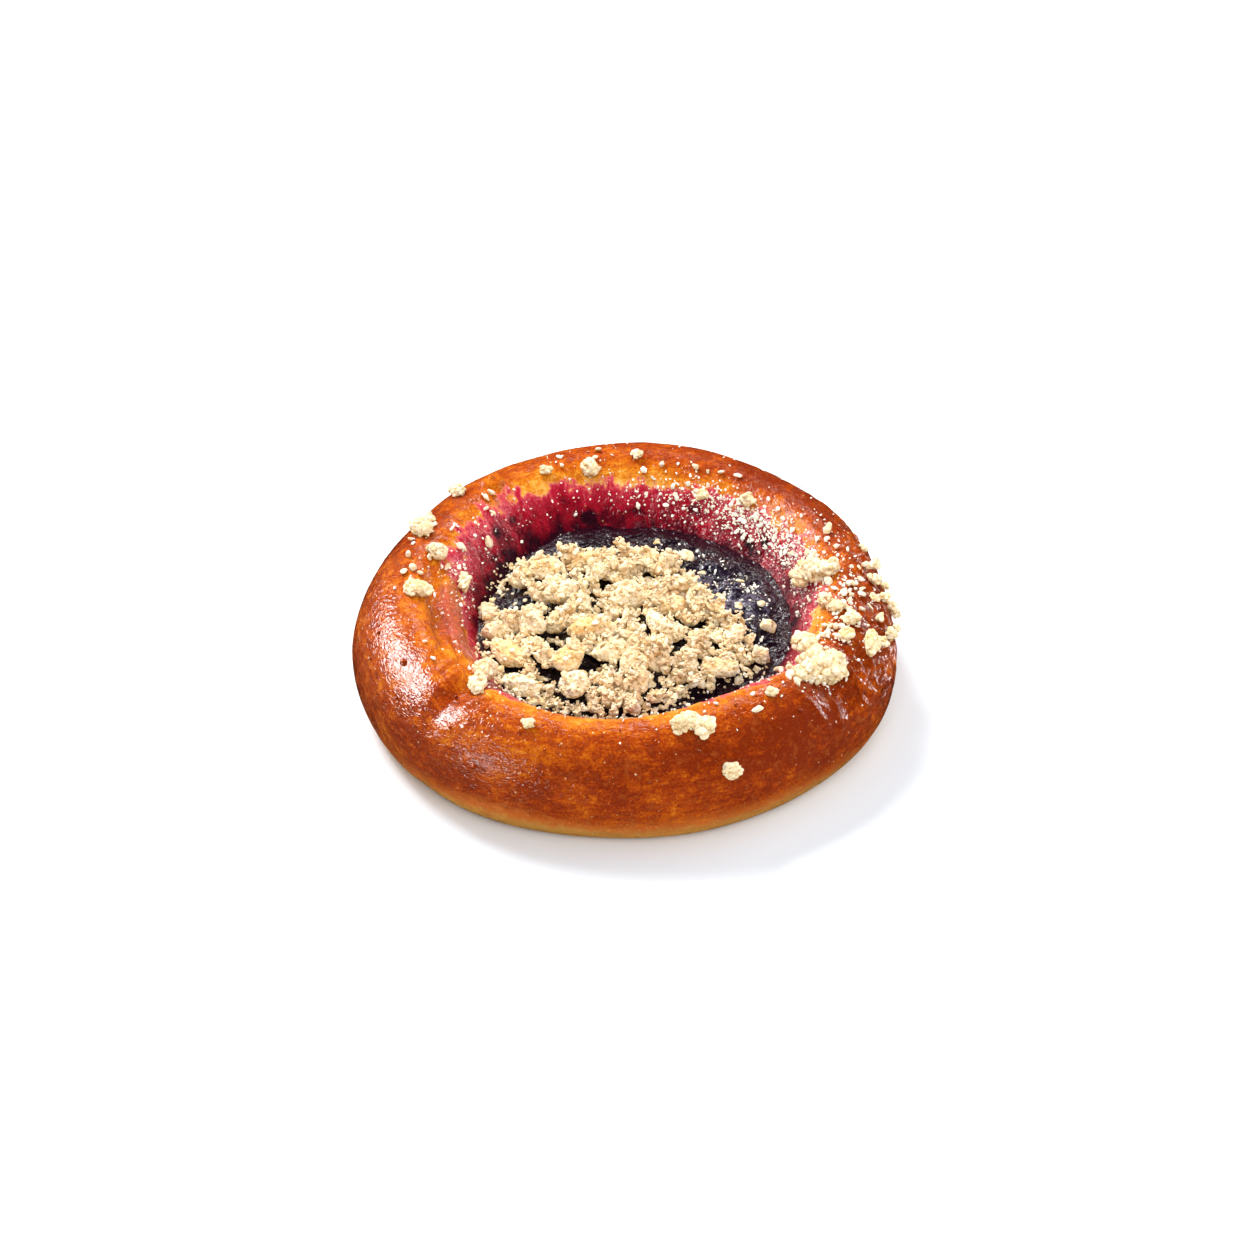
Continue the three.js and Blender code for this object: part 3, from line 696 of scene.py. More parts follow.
# How far into the juice's stain a place is: the way past its wavy edge over the stain's reach, less where
# the wall is paler at the left, more on bits of skin.
def stainAt(turnDeg, step, point):
    edge = np.interp(turnDeg, *zip(*stainEdge), period=360)
    wave = sum(depth * noiseAt(point, size, seed) for size, seed, depth in tones["stainWaves"])
    gain, *spot = tones["stainWider"]
    stain = (step + wave - edge) / (tones["stainReach"] + gain * turnHump(turnDeg, *spot))
    for amount, *spot in stainPatches:
        stain = stain + amount * hump(turnDeg, step, *spot)
    for spot in skinPatches:
        stain = stain + tones["skinDark"] * hump(turnDeg, step, *spot, tones["skinHalf"])
    return stain


# How dark the crust is baked: its level at the step, plus the front (partly painted shade), slow noise and
# the patches.
def bakeAt(turnDeg, step, point):
    bake = np.interp(step, *zip(*bakeLevels))
    front = np.cos(np.radians(turnDeg - tones["frontTurn"]))
    bake = bake + tones["frontDark"] * front * np.clip(3 - step, 0, 1)
    bake = bake + tones["uneven"] * layeredNoise(point, tones["unevenSize"], 3, 41)
    for amount, *spot in bakePatches:
        bake = bake + amount * hump(turnDeg, step, *spot)
    return bake


# The crust's fields at a turn (degrees) and step: how dark it is baked, how far the juice reached, how pale
# the foot is below its wavy proof line, the rosy fold at the left, and where the egg wash shines.
def crustFields(turnDeg, step, point):
    tilt, tiltTurn = proofBand["tilt"]
    depth, size = proofBand["wave"]
    rise, *spot = proofBand["rise"]
    top = proofBand["top"] + tilt * np.cos(np.radians(turnDeg - tiltTurn)) + depth * noiseAt(point, size, 51)
    top = top + rise * turnHump(turnDeg, *spot)
    depth, size = rosyFold["wave"]
    rosy = rosyFold["strength"] * hump(turnDeg, step, *rosyFold["ridge"])
    rosy = np.clip(rosy + depth * noiseAt(point, size, 61), 0, 1)
    dull = np.clip(1.3 * hump(turnDeg, step, *tones["unglazed"]), 0, 1)
    return {
        "bake": bakeAt(turnDeg, step, point),
        "stain": stainAt(turnDeg, step, point),
        "proof": fade(top - step, *proofBand["fade"]),
        "rosy": rosy * fade(hump(turnDeg, step, *rosyFold["within"]), *rosyFold["withinFade"]),
        "glaze": 1 - tones["glazeLoss"] * dull,
    }


# How far each place of the bun swells along its normal: low swells that never pass the outline, ridges on the
# wall, fine creases, blisters that sink, and rings round the knob that fade as the cosine of their distance.
def bunSwell(grid, turns, steps):
    turnDeg = np.degrees(turns)
    edge = np.interp(turnDeg, *zip(*stainEdge), period=360)
    onWall = fade(steps, edge - 0.05, edge + 0.1) * (1 - fade(steps, *bun["toeFade"]))
    aboveFlank = fade(grid[..., 2], *bun["flankFade"])
    radius = bun["wallRound"]
    around = np.stack([np.cos(turns) * radius, np.sin(turns) * radius, steps * bun["wallStep"]], -1)
    swell = bun["lumps"] * (layeredNoise(grid, bun["lumpSize"], 3, 3) - bun["lumpLow"])
    swell *= fade(steps, *bun["lumpFade"])
    swell += bun["wallRidge"] * layeredNoise(around, bun["wallRidgeSize"], 3, 7) * onWall
    swell += creaseHeight(grid[..., 0], grid[..., 1], fineCreases) * aboveFlank
    rough = sum(amount * hump(turnDeg, steps, *spot) for amount, *spot in roughPatches)
    swell -= bun["blister"] * rough * np.abs(layeredNoise(grid, bun["blisterSize"], 2, 9))
    away = (grid[..., 0] - knob["x"]) ** 2 + (grid[..., 1] - knob["y"]) ** 2
    rings = np.cos(np.sqrt(away) * knob["perMm"]) * np.exp(-away / knob["reach"])
    return swell + knob["wrinkle"] * rings * aboveFlank


# The bun: its section's steps carried round the ring and swelled along its normals, with its fields and the
# place along the ring that its patterns follow, closed by a pole under the foot and one at the well's floor.
def makeBun():
    rows = np.concatenate([
        np.linspace(1, 2, bun["footRows"], endpoint=False),
        np.linspace(2, 3, bun["flankRows"], endpoint=False),
        np.linspace(3, bun["toeFrom"], bun["wallRows"], endpoint=False),
        np.linspace(bun["toeFrom"], 4, bun["toeRows"]),
    ])
    turns, steps = np.meshgrid(evenTurns(bun["turns"]), rows)
    grid = crustPoint(turns, steps)
    grid = grid + gridNormals(grid) * bunSwell(grid, turns, steps)[..., None]
    length = np.concatenate([[0], np.cumsum(np.linalg.norm(np.diff(grid[:, 0], axis=0), axis=-1))])
    along = np.broadcast_to(length[:, None] / bun["ringUnit"], turns.shape)
    ringPlace = np.stack([np.cos(turns), np.sin(turns), along], -1)
    footRing = grid[0] * [0.5, 0.5, 0]
    rings = np.concatenate([footRing[None], grid])
    points = np.concatenate([[[0, 0, 0]], rings.reshape(-1, 3), [[*wellMiddle, well["floor"]]]])
    flat = {}
    for name, values in crustFields(np.degrees(turns), steps, grid).items():
        flat[name] = np.concatenate([[values[0, 0]], values[0], values.ravel(), [values[-1, 0]]])
    placeRows = [[[0, 0, 0]], ringPlace[0], ringPlace.reshape(-1, 3), [ringPlace[-1, 0]]]
    flat["ringPlace"] = np.concatenate(placeRows)
    makePiece("bunCrust", points, skinFaces(len(rings), bun["turns"]), "bun", crust, flat)
    return grid


bunGrid = makeBun()

# Tiny bubbles under the egg wash: turn, step, radius.
bubbles = [
    (209, 2.68, 0.75), (238, 2.25, 0.55), (304, 2.84, 0.45), (298, 2.95, 0.4), (230, 2.5, 0.35),
    (252, 2.6, 0.3), (214, 2.4, 0.3), (275, 2.3, 0.35), (196, 2.6, 0.35), (312, 2.6, 0.35), (318, 2.72, 0.3),
    (268, 2.9, 0.25), (225, 2.85, 0.3), (200, 2.4, 0.3), (330, 2.35, 0.35), (286, 2.55, 0.3),
    (245, 2.75, 0.25), (262, 2.15, 0.3),
]
bubbleLook = {"sunk": 0.3, "browner": 0.12}


# Each bubble is a ball sunk to a low dome, with the colour fields of the crust round it, a little browner.
def makeBubbles():
    ball, ballFaces = ballLevels[3]
    turnDeg, step, radius = np.array(bubbles).T
    turn = np.radians(turnDeg)
    centre, normal = crustPoint(turn, step), crustNormal(turn, step)
    points = centre[:, None] + (ball[None] - bubbleLook["sunk"] * normal[:, None]) * radius[:, None, None]
    faces = ballFaces[None] + np.arange(len(radius))[:, None, None] * len(ball)
    fields = crustFields(turnDeg, step, centre)
    fields["bake"] = fields["bake"] + bubbleLook["browner"]
    flat = {name: np.repeat(values, len(ball)) for name, values in fields.items()}
    around = np.stack([np.cos(turn), np.sin(turn), step], -1)
    flat["ringPlace"] = np.repeat(around, len(ball), axis=0) + points.reshape(-1, 3) / bun["ringUnit"]
    makePiece("crustBubbles", points.reshape(-1, 3), [faces.reshape(-1, 3)], "bun", crust, flat)


makeBubbles()
print("dough ready")

filling = {
    "level": 13.9,
    "dome": 0.8,
    "reach": 30.0,
    "berries": 44,
    "berrySpread": 27.0,
    "berryHeight": 1.3,
    "berryRadius": (3.2, 1.6),  # least, and what chance adds
    "berryStray": 0.5,
    "berryPower": 0.8,
    "flatEdge": 5,  # how fast the berries flatten towards the reach
    "turns": 420,
    "rings": 110,
    "sides": (1.0, 0.66, 0.33, 0.08),  # rings down the wall, as shares of the way to the toe
    "gap": 0.35,
    "edgeRise": (0.4, 1.1),  # the edge stands over the level by the first, give or take the second
    "wrinkle": 0.55,
    "wrinkleNoise": (3, 5, 3, 2.7, 3, 5),  # push, its size and seed; size, layers, seed
    "crinkle": 0.24,
    "crinkleNoise": (1.5, 2, 4, 1.3, 2, 6),
    "smoothEdge": 14,  # how fast the wrinkles come in from the edge
    "sunk": 0.2,
    "middle": 0.02,  # share of the way out at which the rings end
    "climb": 2.2,  # width over which the top climbs to its edge
    "wallTint": 3.2,  # width of the redder rim at the wall
    "bay": (21, 6, 150),  # bare place painted greyer, as worn skin and painted sheen: x, y, width squared
    "wornAndSheen": (0.2, 0.16, 0.12, 0.42),  # how grey, as worn berry skin and painted sheen: everywhere, and for wrinkle, crinkle and bay
}

berryRandom = np.random.default_rng(11)
berryTurn = np.arange(filling["berries"]) * goldenTurn
berrySpread = filling["berrySpread"] * np.sqrt((np.arange(filling["berries"]) + 0.5) / filling["berries"])
berryPlan = np.stack([np.cos(berryTurn), np.sin(berryTurn)], -1) * berrySpread[:, None] + wellMiddle
berryPlan += berryRandom.uniform(-filling["berryStray"], filling["berryStray"], berryPlan.shape)
berryRadius = filling["berryRadius"][0] + filling["berryRadius"][1] * berryRandom.random(filling["berries"])


# Height of the filling: a low dome, with each berry's cap standing out of it as a power of its closeness.
def fillingTop(x, y):
    out = np.hypot(x - well["x"], y - well["y"]) / filling["reach"]
    bump = np.zeros(np.shape(x))
    for plan, radius in zip(berryPlan, berryRadius):
        near = np.clip(1 - ((x - plan[0]) ** 2 + (y - plan[1]) ** 2) / radius**2, 0, 1)
        bump = np.maximum(bump, filling["berryHeight"] * near ** filling["berryPower"])
    flatEdge = np.clip((1 - out) * filling["flatEdge"], 0, 1)
    return filling["level"] + filling["dome"] * np.clip(1 - out**2, 0, 1) + bump * flatEdge


# The step at which the wall passes a height, read off the section's falling heights at each turn.
def wallStepAt(turn, height):
    steps = np.linspace(3.02, 4, 400)
    falls = crustPoint(turn[:, None], steps[None, :])[..., 2]
    return np.array([np.interp(-level, -fall, steps) for level, fall in zip(height, falls)])


# Wrinkled skin, 1 on its ridges: one less twice the size of a layered noise, at places that another pushed.
def wrinkles(places, push, pushSize, pushSeed, size, layers, seed):
    pushed = places + push * noiseAt(places, pushSize, pushSeed)[..., None]
    return 1 - np.abs(layeredNoise(pushed, size, layers, seed)) * 2


# The filling: a polar grid whose edge follows the wall; its top is the berries' height, wrinkled by noise.
def makeFilling():
    count = filling["turns"]
    turn = evenTurns(count)
    reach = filling["reach"]
    around = np.stack([np.cos(turn) * reach, np.sin(turn) * reach, 0 * turn], -1)
    rise = filling["edgeRise"][0] + filling["edgeRise"][1] * layeredNoise(around, 6, 4, 77)
    edgeStep = wallStepAt(turn, filling["level"] + rise)
    sides = []
    for share in filling["sides"]:
        step = edgeStep + share * (4 - edgeStep)
        sides.append(crustPoint(turn, step) + crustNormal(turn, step) * filling["gap"])
    edge = crustPoint(turn, edgeStep)
    edge[:, :2] = edge[:, :2] + (edge[:, :2] - wellMiddle) * 0.02
    shares = np.linspace(1, filling["middle"], filling["rings"])
    inward = (1 - shares) * reach
    plan = edge[None, :, :2] * shares[:, None, None] + wellMiddle * (1 - shares)[:, None, None]
    top = fillingTop(plan[..., 0], plan[..., 1])
    flat = np.concatenate([plan, np.zeros(top.shape + (1,))], -1)
    skin = wrinkles(flat, *filling["wrinkleNoise"])
    crinkle = wrinkles(flat, *filling["crinkleNoise"])
    offEdge = np.clip((1 - shares) * filling["smoothEdge"], 0, 1)[:, None]
    top = top + (filling["wrinkle"] * skin + filling["crinkle"] * crinkle) * offEdge - filling["sunk"]
    climb = np.exp(-inward / filling["climb"])[:, None]
    top = top * (1 - climb) + edge[None, :, 2] * climb
    rings = np.concatenate([np.array(sides), np.concatenate([plan, top[..., None]], -1)])
    bottom, peak = [*wellMiddle, well["floor"] + filling["gap"]], [*wellMiddle, top[-1].mean()]
    points = np.concatenate([[bottom], rings.reshape(-1, 3), [peak]])
    # The skin field: greyer on the wrinkles' ridges and in the bay, partly worn berry skin and partly painted
    # sheen.
    bayX, bayY, bayWidth = filling["bay"]
    bay = np.exp(-((flat[..., 0] - bayX) ** 2 + (flat[..., 1] - bayY) ** 2) / bayWidth)
    least, bySkin, byCrinkle, bySheenSpot = filling["wornAndSheen"]
    wornAndSheen = least + bySkin * skin + byCrinkle * crinkle + bySheenSpot * bay
    nearWall = np.broadcast_to(np.exp(-((inward / filling["wallTint"]) ** 2))[:, None], wornAndSheen.shape)
    under = 1 + len(sides) * count
    fields = {
        "skin": np.concatenate([np.full(under, 0.2), wornAndSheen.ravel(), [0.3]]),
        "nearWall": np.concatenate([np.ones(under), nearWall.ravel(), [0]]),
    }
    faces = skinFaces(len(rings), count)
    makePiece("berryFilling", points, faces, "filling", berryFilling, fields)


makeFilling()
print("filling ready")

heap = {
    "x": -2.0,
    "y": -5.5,
    "radius": 25.4,
    "thickness": 3.2,
    "gapThin": 0.93,  # share of the small crumbs missing in the gaps
    "pieceEdge": 0.95,  # how far over a large piece the small crumbs thin out, 1 at its edge
    "shrink": 0.95,
    "skin": (0.75, 0.22),  # size and depth of the grains on a large lump
    "stuck": 36,  # grains stuck to each large lump
    "mediums": 150,
    "mediumSpread": (0.98, 0.12),  # share of the outline filled, and share kept over the large pieces
    "mediumLong": (2.0, 4.4),
    "mediumWide": (0.65, 0.95),  # shares of the length
    "mediumTall": (0.6, 0.85),
    "mediumRest": (-0.35, 0.2, 0.15),  # shares of the height over the map, over the core, and over both
    "mediumLean": (0.5, 0.5, 0),
    "mediumToast": (0, 0.7),
    "mediumSkin": (0.7, 0.34),
    "mediumTop": 21.6,
    "grains": 1900,
    "grainSpread": (1.03, 0.14),
    "grainLong": (0.9, 2.1),
    "grainTop": 22.2,
    "tiny": 2900,
    "tinySpread": (1.1, 0.3),
    "tinyLong": (0.45, 0.95),
    "tinyTop": 22.4,
}

heapWaves = [(1, 1.6, 115), (3, 0.8, 34), (5, 0.9, -63)]
heapTongues = [(-7, 32, 25), (4.5, -22, 14), (2.5, -140, 20)]  # size, heading, half width in degrees

# Dark gaps between the crumbs: x, y, half width.
heapGaps = [
    (-22, 1.5, 4.2), (-15, -11.5, 3.6), (-7, -20.5, 3), (-24, 6.5, 3.6), (-16, -2.5, 2.4), (5, -22.5, 2.6),
]

# The larger pieces: x, y, long, wide, tall, heading, toast, bend.
heapPieces = [
    (-16.3, 12, 7.5, 6, 5, 20, 0.7, 0), (-8.7, 16, 6.5, 3.6, 3.4, 40, 0.8, 0),
    (-12.9, 3.6, 8, 6.6, 5.4, 160, 0.25, 0), (-5.8, 10, 6, 4.6, 4.4, 60, 0.3, 0),
    (5.3, 14.7, 4.8, 4.2, 5, 90, 0.6, 0), (0.4, 1.1, 8.6, 6.8, 6, 10, 0.35, 0),
    (9.2, -0.8, 6.8, 5.6, 5.2, 20, 0.75, 0), (8.1, -8.1, 11, 5.2, 4.4, -42, 0.1, 1.6),
    (-6.6, -8.7, 10.4, 6.6, 5.6, 8, 0.9, 0), (-18.3, -6.5, 6.4, 5.8, 5, -20, 0.3, 0),
    (-18, -12.1, 6.4, 4.8, 4.2, -10, 0.4, 0), (-10.9, -17, 9.2, 7.2, 5.4, 38, 0.8, 0),
    (-2.7, -14.9, 9.4, 4.6, 4.4, 6, 0.5, 0.8), (-26, -5.9, 5.2, 4.6, 5, 0, 0.3, 0),
    (-23.2, -13.5, 10.5, 5.4, 4.8, -58, 0.8, -0.8), (-20.5, -22.5, 9, 4.4, 4.2, -30, 0.2, 0),
    (-9.8, -24, 7.4, 6.2, 4.8, 42, 0.1, 0), (1.2, -18.9, 6, 5, 4.6, 80, 0.4, 0),
    (17.8, -17.5, 9.4, 5.2, 4.4, -12, 0.6, 0), (21.5, -9.6, 5.2, 4.6, 4.6, 60, 0.4, 0),
    (26.6, -12.6, 4.6, 3.8, 4, 70, 0.4, 0), (-27.6, 1.6, 6, 3.4, 3.4, -70, 0.4, 0),
]


# Outline of the heap: a wavy circle less a bare bay at the back right, with two tongues.
def coreRadius(turn):
    radius = heap["radius"] + waveSum(turn, heapWaves)
    for size, heading, width in heapTongues:
        away = np.angle(np.exp(1j * (turn - math.radians(heading))))
        radius = radius + size * np.exp(-((away / math.radians(width)) ** 2))
    return radius


# Thickness of the heap over the filling: a half ellipse from its middle to its outline.
def coreThickness(x, y):
    turn = np.arctan2(y - heap["y"], x - heap["x"])
    out = np.hypot(x - heap["x"], y - heap["y"]) / coreRadius(turn)
    return heap["thickness"] * np.sqrt(np.clip(1 - out**2, 0, 1))


lump = {
    "planes": 8,  # planes that chop each lump, and how far out they stand
    "depths": (0.62, 0.95),
    "sharpness": 14,  # power of the mean that rounds the edges between them
    "most": 1.02,  # farthest reach
    "uneven": 0.16,
    "unevenSize": 0.75,
    "coarse": 0.68,  # shares of the coarse and the fine grains in its skin
    "fine": 0.32,
    "fineSize": 0.55,
    "sunk": 0.6,  # height of the skin at which the grains start
}


# A lump of crumbs: each direction of a ball reaches to the nearest of some random planes, softened by a power
# mean; noise makes it uneven, and packed balls of two sizes swell its skin. Returns its points, and how high
# each stands.
def lumpShape(random, level, size, skin, bend=0.0, rough=1.0):
    way = ballLevels[level][0]
    power = lump["sharpness"]
    planes = random.normal(size=(lump["planes"], 3))
    planes /= np.linalg.norm(planes, axis=1, keepdims=True)
    depths = random.uniform(*lump["depths"], lump["planes"])
    toward = np.clip(way @ planes.T, 0.02, None) / depths
    reach = (np.sum(toward**power, axis=1) + lump["most"] ** -power) ** (-1 / power)
    start = random.uniform(0, 400, 3)
    reach = reach * (1 + lump["uneven"] * rough * layeredNoise(way + start, lump["unevenSize"], 3, 3))
    half = np.array(size) / 2
    points = way * reach[:, None] * half
    points[:, 1] += bend * (points[:, 0] / half[0]) ** 2 - bend / 2
    grainSize, grainDepth = skin
    coarse = grainHeight(points + start, grainSize, 5)
    fine = grainHeight(points + start + 50, grainSize * lump["fineSize"], 8)
    height = lump["coarse"] * coarse + lump["fine"] * fine
    points += way * ((height - lump["sunk"]) * grainDepth)[:, None]
    return points, height


# A matrix that turns by a heading in radians about +Z.
def headingMatrix(heading):
    c, s = math.cos(heading), math.sin(heading)
    return np.array([[c, -s, 0], [s, c, 0], [0, 0, 1]])


# A matrix that leans +Z to a normal by the turn between them (Rodrigues' formula), after a heading about +Z.
def leanMatrix(normal, heading):
    side = np.cross(upward, normal)
    sine = np.linalg.norm(side)
    if sine < 1e-6:
        return headingMatrix(heading)
    side /= sine
    cross = np.array([[0, -side[2], side[1]], [side[2], 0, -side[0]], [-side[1], side[0], 0]])
    return (np.eye(3) + sine * cross + (1 - normal[2]) * (cross @ cross)) @ headingMatrix(heading)


# Height map of what crumbs can land on, in square cells over the well and lip.
mapCell = 0.35
mapSide = 300
mapStart = -mapSide * mapCell / 2


# The map's row and column for plan places: whole cells from its corner, held inside it.
def mapIndex(x, y):
    column = np.clip(((x - mapStart) / mapCell).astype(int), 0, mapSide - 1)
    row = np.clip(((y - mapStart) / mapCell).astype(int), 0, mapSide - 1)
    return row, column


# The map before any crumb: in each cell the wall's highest point, spread to the empty cells beside it, or the
# filling's top where that is higher.
def startMap():
    axis = mapStart + (np.arange(mapSide) + 0.5) * mapCell
    x, y = np.meshgrid(axis, axis)
    ground = np.zeros((mapSide, mapSide))
    wall = bunGrid[bun["footRows"] + bun["flankRows"]:]
    np.maximum.at(ground, mapIndex(wall[..., 0].ravel(), wall[..., 1].ravel()), wall[..., 2].ravel())
    for _ in range(6):
        around = [np.roll(ground, shift, side) for shift in (1, -1) for side in (0, 1)]
        ground = np.where(ground > 0, ground, np.maximum.reduce(around))
    inside = np.hypot(x - well["x"], y - well["y"]) < 32
    return np.maximum(ground, np.where(inside, fillingTop(x, y), 0))


groundMap = startMap()


# The map's height at one place.
def groundAt(x, y):
    row, column = mapIndex(np.array(x), np.array(y))
    return groundMap[row, column]


# Raises the map under a piece to its top, an upturned half ellipsoid over its plan.
def coverMap(x, y, z, size):
    half = max(size[0], size[1]) / 2
    row, column = mapIndex(np.array([x - half, x + half]), np.array([y - half, y + half]))
    patch = (slice(row[0], row[1] + 1), slice(column[0], column[1] + 1))
    gridY, gridX = np.mgrid[patch]
    px = mapStart + (gridX + 0.5) * mapCell - x
    py = mapStart + (gridY + 0.5) * mapCell - y
    near = np.clip(1 - (px**2 + py**2) / half**2, 0, 1)
    top = np.where(near > 0, z + size[2] / 2 * np.sqrt(near) * 0.95, 0)
    groundMap[patch] = np.maximum(groundMap[patch], top)


pileParts = ("points", "faces", "height", "toast")
aboutTurn = 6.28  # one turn, for headings left to chance
toastSpan = (0.35, 0.9)  # shares of a lump's height over which the toast comes in
# The painted shade under each lump:
shadeLow = 0.42  # how light its bottom is, and at what share of its height it is full
shadeTop = 0.7


# A pile gathers the points, faces and fields of many lumps for one mesh.
def startPile():
    return {part: [] for part in pileParts} | {"count": 0}


# Adds a lump to a pile: its faces are numbered on from the points already there.
def addToPile(pile, points, faces, height, toast):
    pile["points"].append(points)
    pile["faces"].append(faces + pile["count"])
    pile["height"].append(height)
    pile["toast"].append(np.broadcast_to(toast, height.shape))
    pile["count"] += len(points)


# Makes a pile's piece by stacking its lists, with flat faces as crumbs have.
def makePile(pile, name, node):
    points, faces, height, toast = [np.concatenate(pile[part]) for part in pileParts]
    # The height field holds how light each point is painted: its painted shade.
    fields = {"height": height, "toast": toast}
    makePiece(name, points, [faces], node, crumbTopping, fields, False)


# Toast falls on what faces up: a smooth step of a point's height within its lump.
def toastOf(z, most):
    low, high = z.min(), z.max()
    return most * fade((z - low) / (high - low), *toastSpan)


# Painted shade: how light a point is for its height in its lump, low at the bottom, rising smoothly to 1 near
# the top.
def underShade(z):
    low, high = z.min(), z.max()
    return shadeLow + (1 - shadeLow) * fade((z - low) / (high - low), 0.0, shadeTop)


stuck = {
    "skin": (0.7, 0.12),
    "shape": (1, 0.85, 0.75),
    "above": -0.25,  # share of the lump's height over which grains stick
    "sunk": 0.97,
    "light": (0.25, 0.6),
    "toast": (0, 0.6),
}


# Adds a lump to a pile at a place, and sticks grains over its upper skin, each at one of its own points.
def addLump(pile, random, level, place, size, matrix, toast, skin, bend=0.0, grains=0, grainSize=(0.4, 1.1)):
    points, height = lumpShape(random, level, size, skin, bend)
    points = points @ matrix.T
    # Painted shade: the grain height of the skin, darker in its crevices, times the darkening low on the
    # lump.
    light = height * underShade(points[:, 2])
    addToPile(pile, points + place, ballLevels[level][1], light, toastOf(points[:, 2], toast))
    if not grains:
        return
    upper = np.where(points[:, 2] > stuck["above"] * size[2])[0]
    for spot in random.choice(upper, grains):
        long = random.uniform(*grainSize)
        spread = [long * share for share in stuck["shape"]]
        shape, raised = lumpShape(random, 2, spread, stuck["skin"], 0, 1.5)
        shape = shape @ headingMatrix(random.uniform(0, aboutTurn)).T
        # Painted shade on the stuck grains too.
        light = np.clip(0.35 * raised + random.uniform(*stuck["light"]), 0, 1) * underShade(shape[:, 2])
        brown = toast * random.uniform(*stuck["toast"])
        addToPile(pile, shape + points[spot] * stuck["sunk"] + place, ballLevels[2][1], light, brown)


heapRandom = np.random.default_rng(5)
lumpRest = (0.8, 0.28)  # where a large piece's middle is: shares of the heap's thickness and its own height


# The heap's larger pieces, each set on the filling and the heap's thickness at its own place.
def makeHeapLumps():
    pile = startPile()
    for x, y, long, wide, tall, heading, toast, bend in heapPieces:
        z = fillingTop(x, y) + coreThickness(x, y) * lumpRest[0] + tall * lumpRest[1]
        size = [side * heap["shrink"] for side in (long, wide, tall)]
        matrix = headingMatrix(math.radians(heading))
        addLump(pile, heapRandom, 5, [x, y, z], size, matrix, toast, heap["skin"], bend, heap["stuck"])
        coverMap(x, y, z, (wide, wide, tall))
    makePile(pile, "heapLumps", "streusel_heap")


core = {
    "share": 0.45,  # how much of the heap's thickness it takes
    "reach": 0.97,
    "turns": 300,
    "rings": 60,
    "middle": 0.02,
    "sunk": 0.3,
    "gapDepth": 3.6,
    "gapShare": 0.75,
    "rough": 0.35,
    "roughSize": 2.6,
    "lowest": 0.6,  # how far under the filling's level its top and its bottom may lie
    "bottom": 0.9,
}


# The low core under the crumbs is filling that they soaked up, dark enough to stand as painted shade in the
# gaps:
# a polar grid at a share of the heap's thickness, roughened by noise, that sinks as bell curves at the gaps.
def makeCore():
    turn = evenTurns(core["turns"])
    shares = np.linspace(1, core["middle"], core["rings"])
    radius = coreRadius(turn) * core["reach"]
    x = heap["x"] + shares[:, None] * radius * np.cos(turn)
    y = heap["y"] + shares[:, None] * radius * np.sin(turn)
    z = fillingTop(x, y) - core["sunk"] + coreThickness(x, y) * core["share"]
    for atX, atY, width in heapGaps:
        away = (x - atX) ** 2 + (y - atY) ** 2
        z = z - core["gapDepth"] * np.exp(-away / (width * core["gapShare"]) ** 2)
    height = layeredNoise(np.stack([x, y, z], -1), core["roughSize"], 3, 3)
    z = np.maximum(z + core["rough"] * height, filling["level"] - core["lowest"])
    grid = np.stack([x, y, z], -1)
    bottom = filling["level"] - core["bottom"]
    base = np.stack([x[0], y[0], np.full(core["turns"], bottom)], -1)
    ringsAll = np.concatenate([base[None], grid])
    under = [heap["x"], heap["y"], bottom]
    points = np.concatenate([[under], ringsAll.reshape(-1, 3), [grid[-1].mean(0)]])
    skin = np.concatenate([[0], np.zeros(core["turns"]), 0.2 + 0.2 * height.ravel(), [0.2]])
    fields = {"skin": skin, "nearWall": np.zeros(len(points))}
    faces = skinFaces(len(ringsAll), core["turns"])
    makePiece("heapCore", points, faces, "streusel_heap", berryFilling, fields)


# Random places inside the heap's outline: the root of an even share spreads them evenly, and they are thinned
# at the gaps and over the large pieces.
def heapPlaces(count, spread, onPieces):
    turn = heapRandom.uniform(0, fullTurn, count * 4)
    share = np.sqrt(heapRandom.random(count * 4)) * spread
    x = heap["x"] + coreRadius(turn) * share * np.cos(turn)
    y = heap["y"] + coreRadius(turn) * share * np.sin(turn)
    keep = np.ones(len(x))
    for atX, atY, width in heapGaps:
        keep = keep * (1 - heap["gapThin"] * np.exp(-(((x - atX) ** 2 + (y - atY) ** 2) / width**2) ** 2))
    for atX, atY, long, wide, _, heading, _, _ in heapPieces:
        along, across = alongAcross(x, y, atX, atY, heading)
        over = (along / long * 2) ** 2 + (across / wide * 2) ** 2 < heap["pieceEdge"]
        keep = np.where(over, keep * onPieces, keep)
    chosen = heapRandom.random(len(x)) < keep
    return np.stack([x[chosen], y[chosen]], -1)[:count]


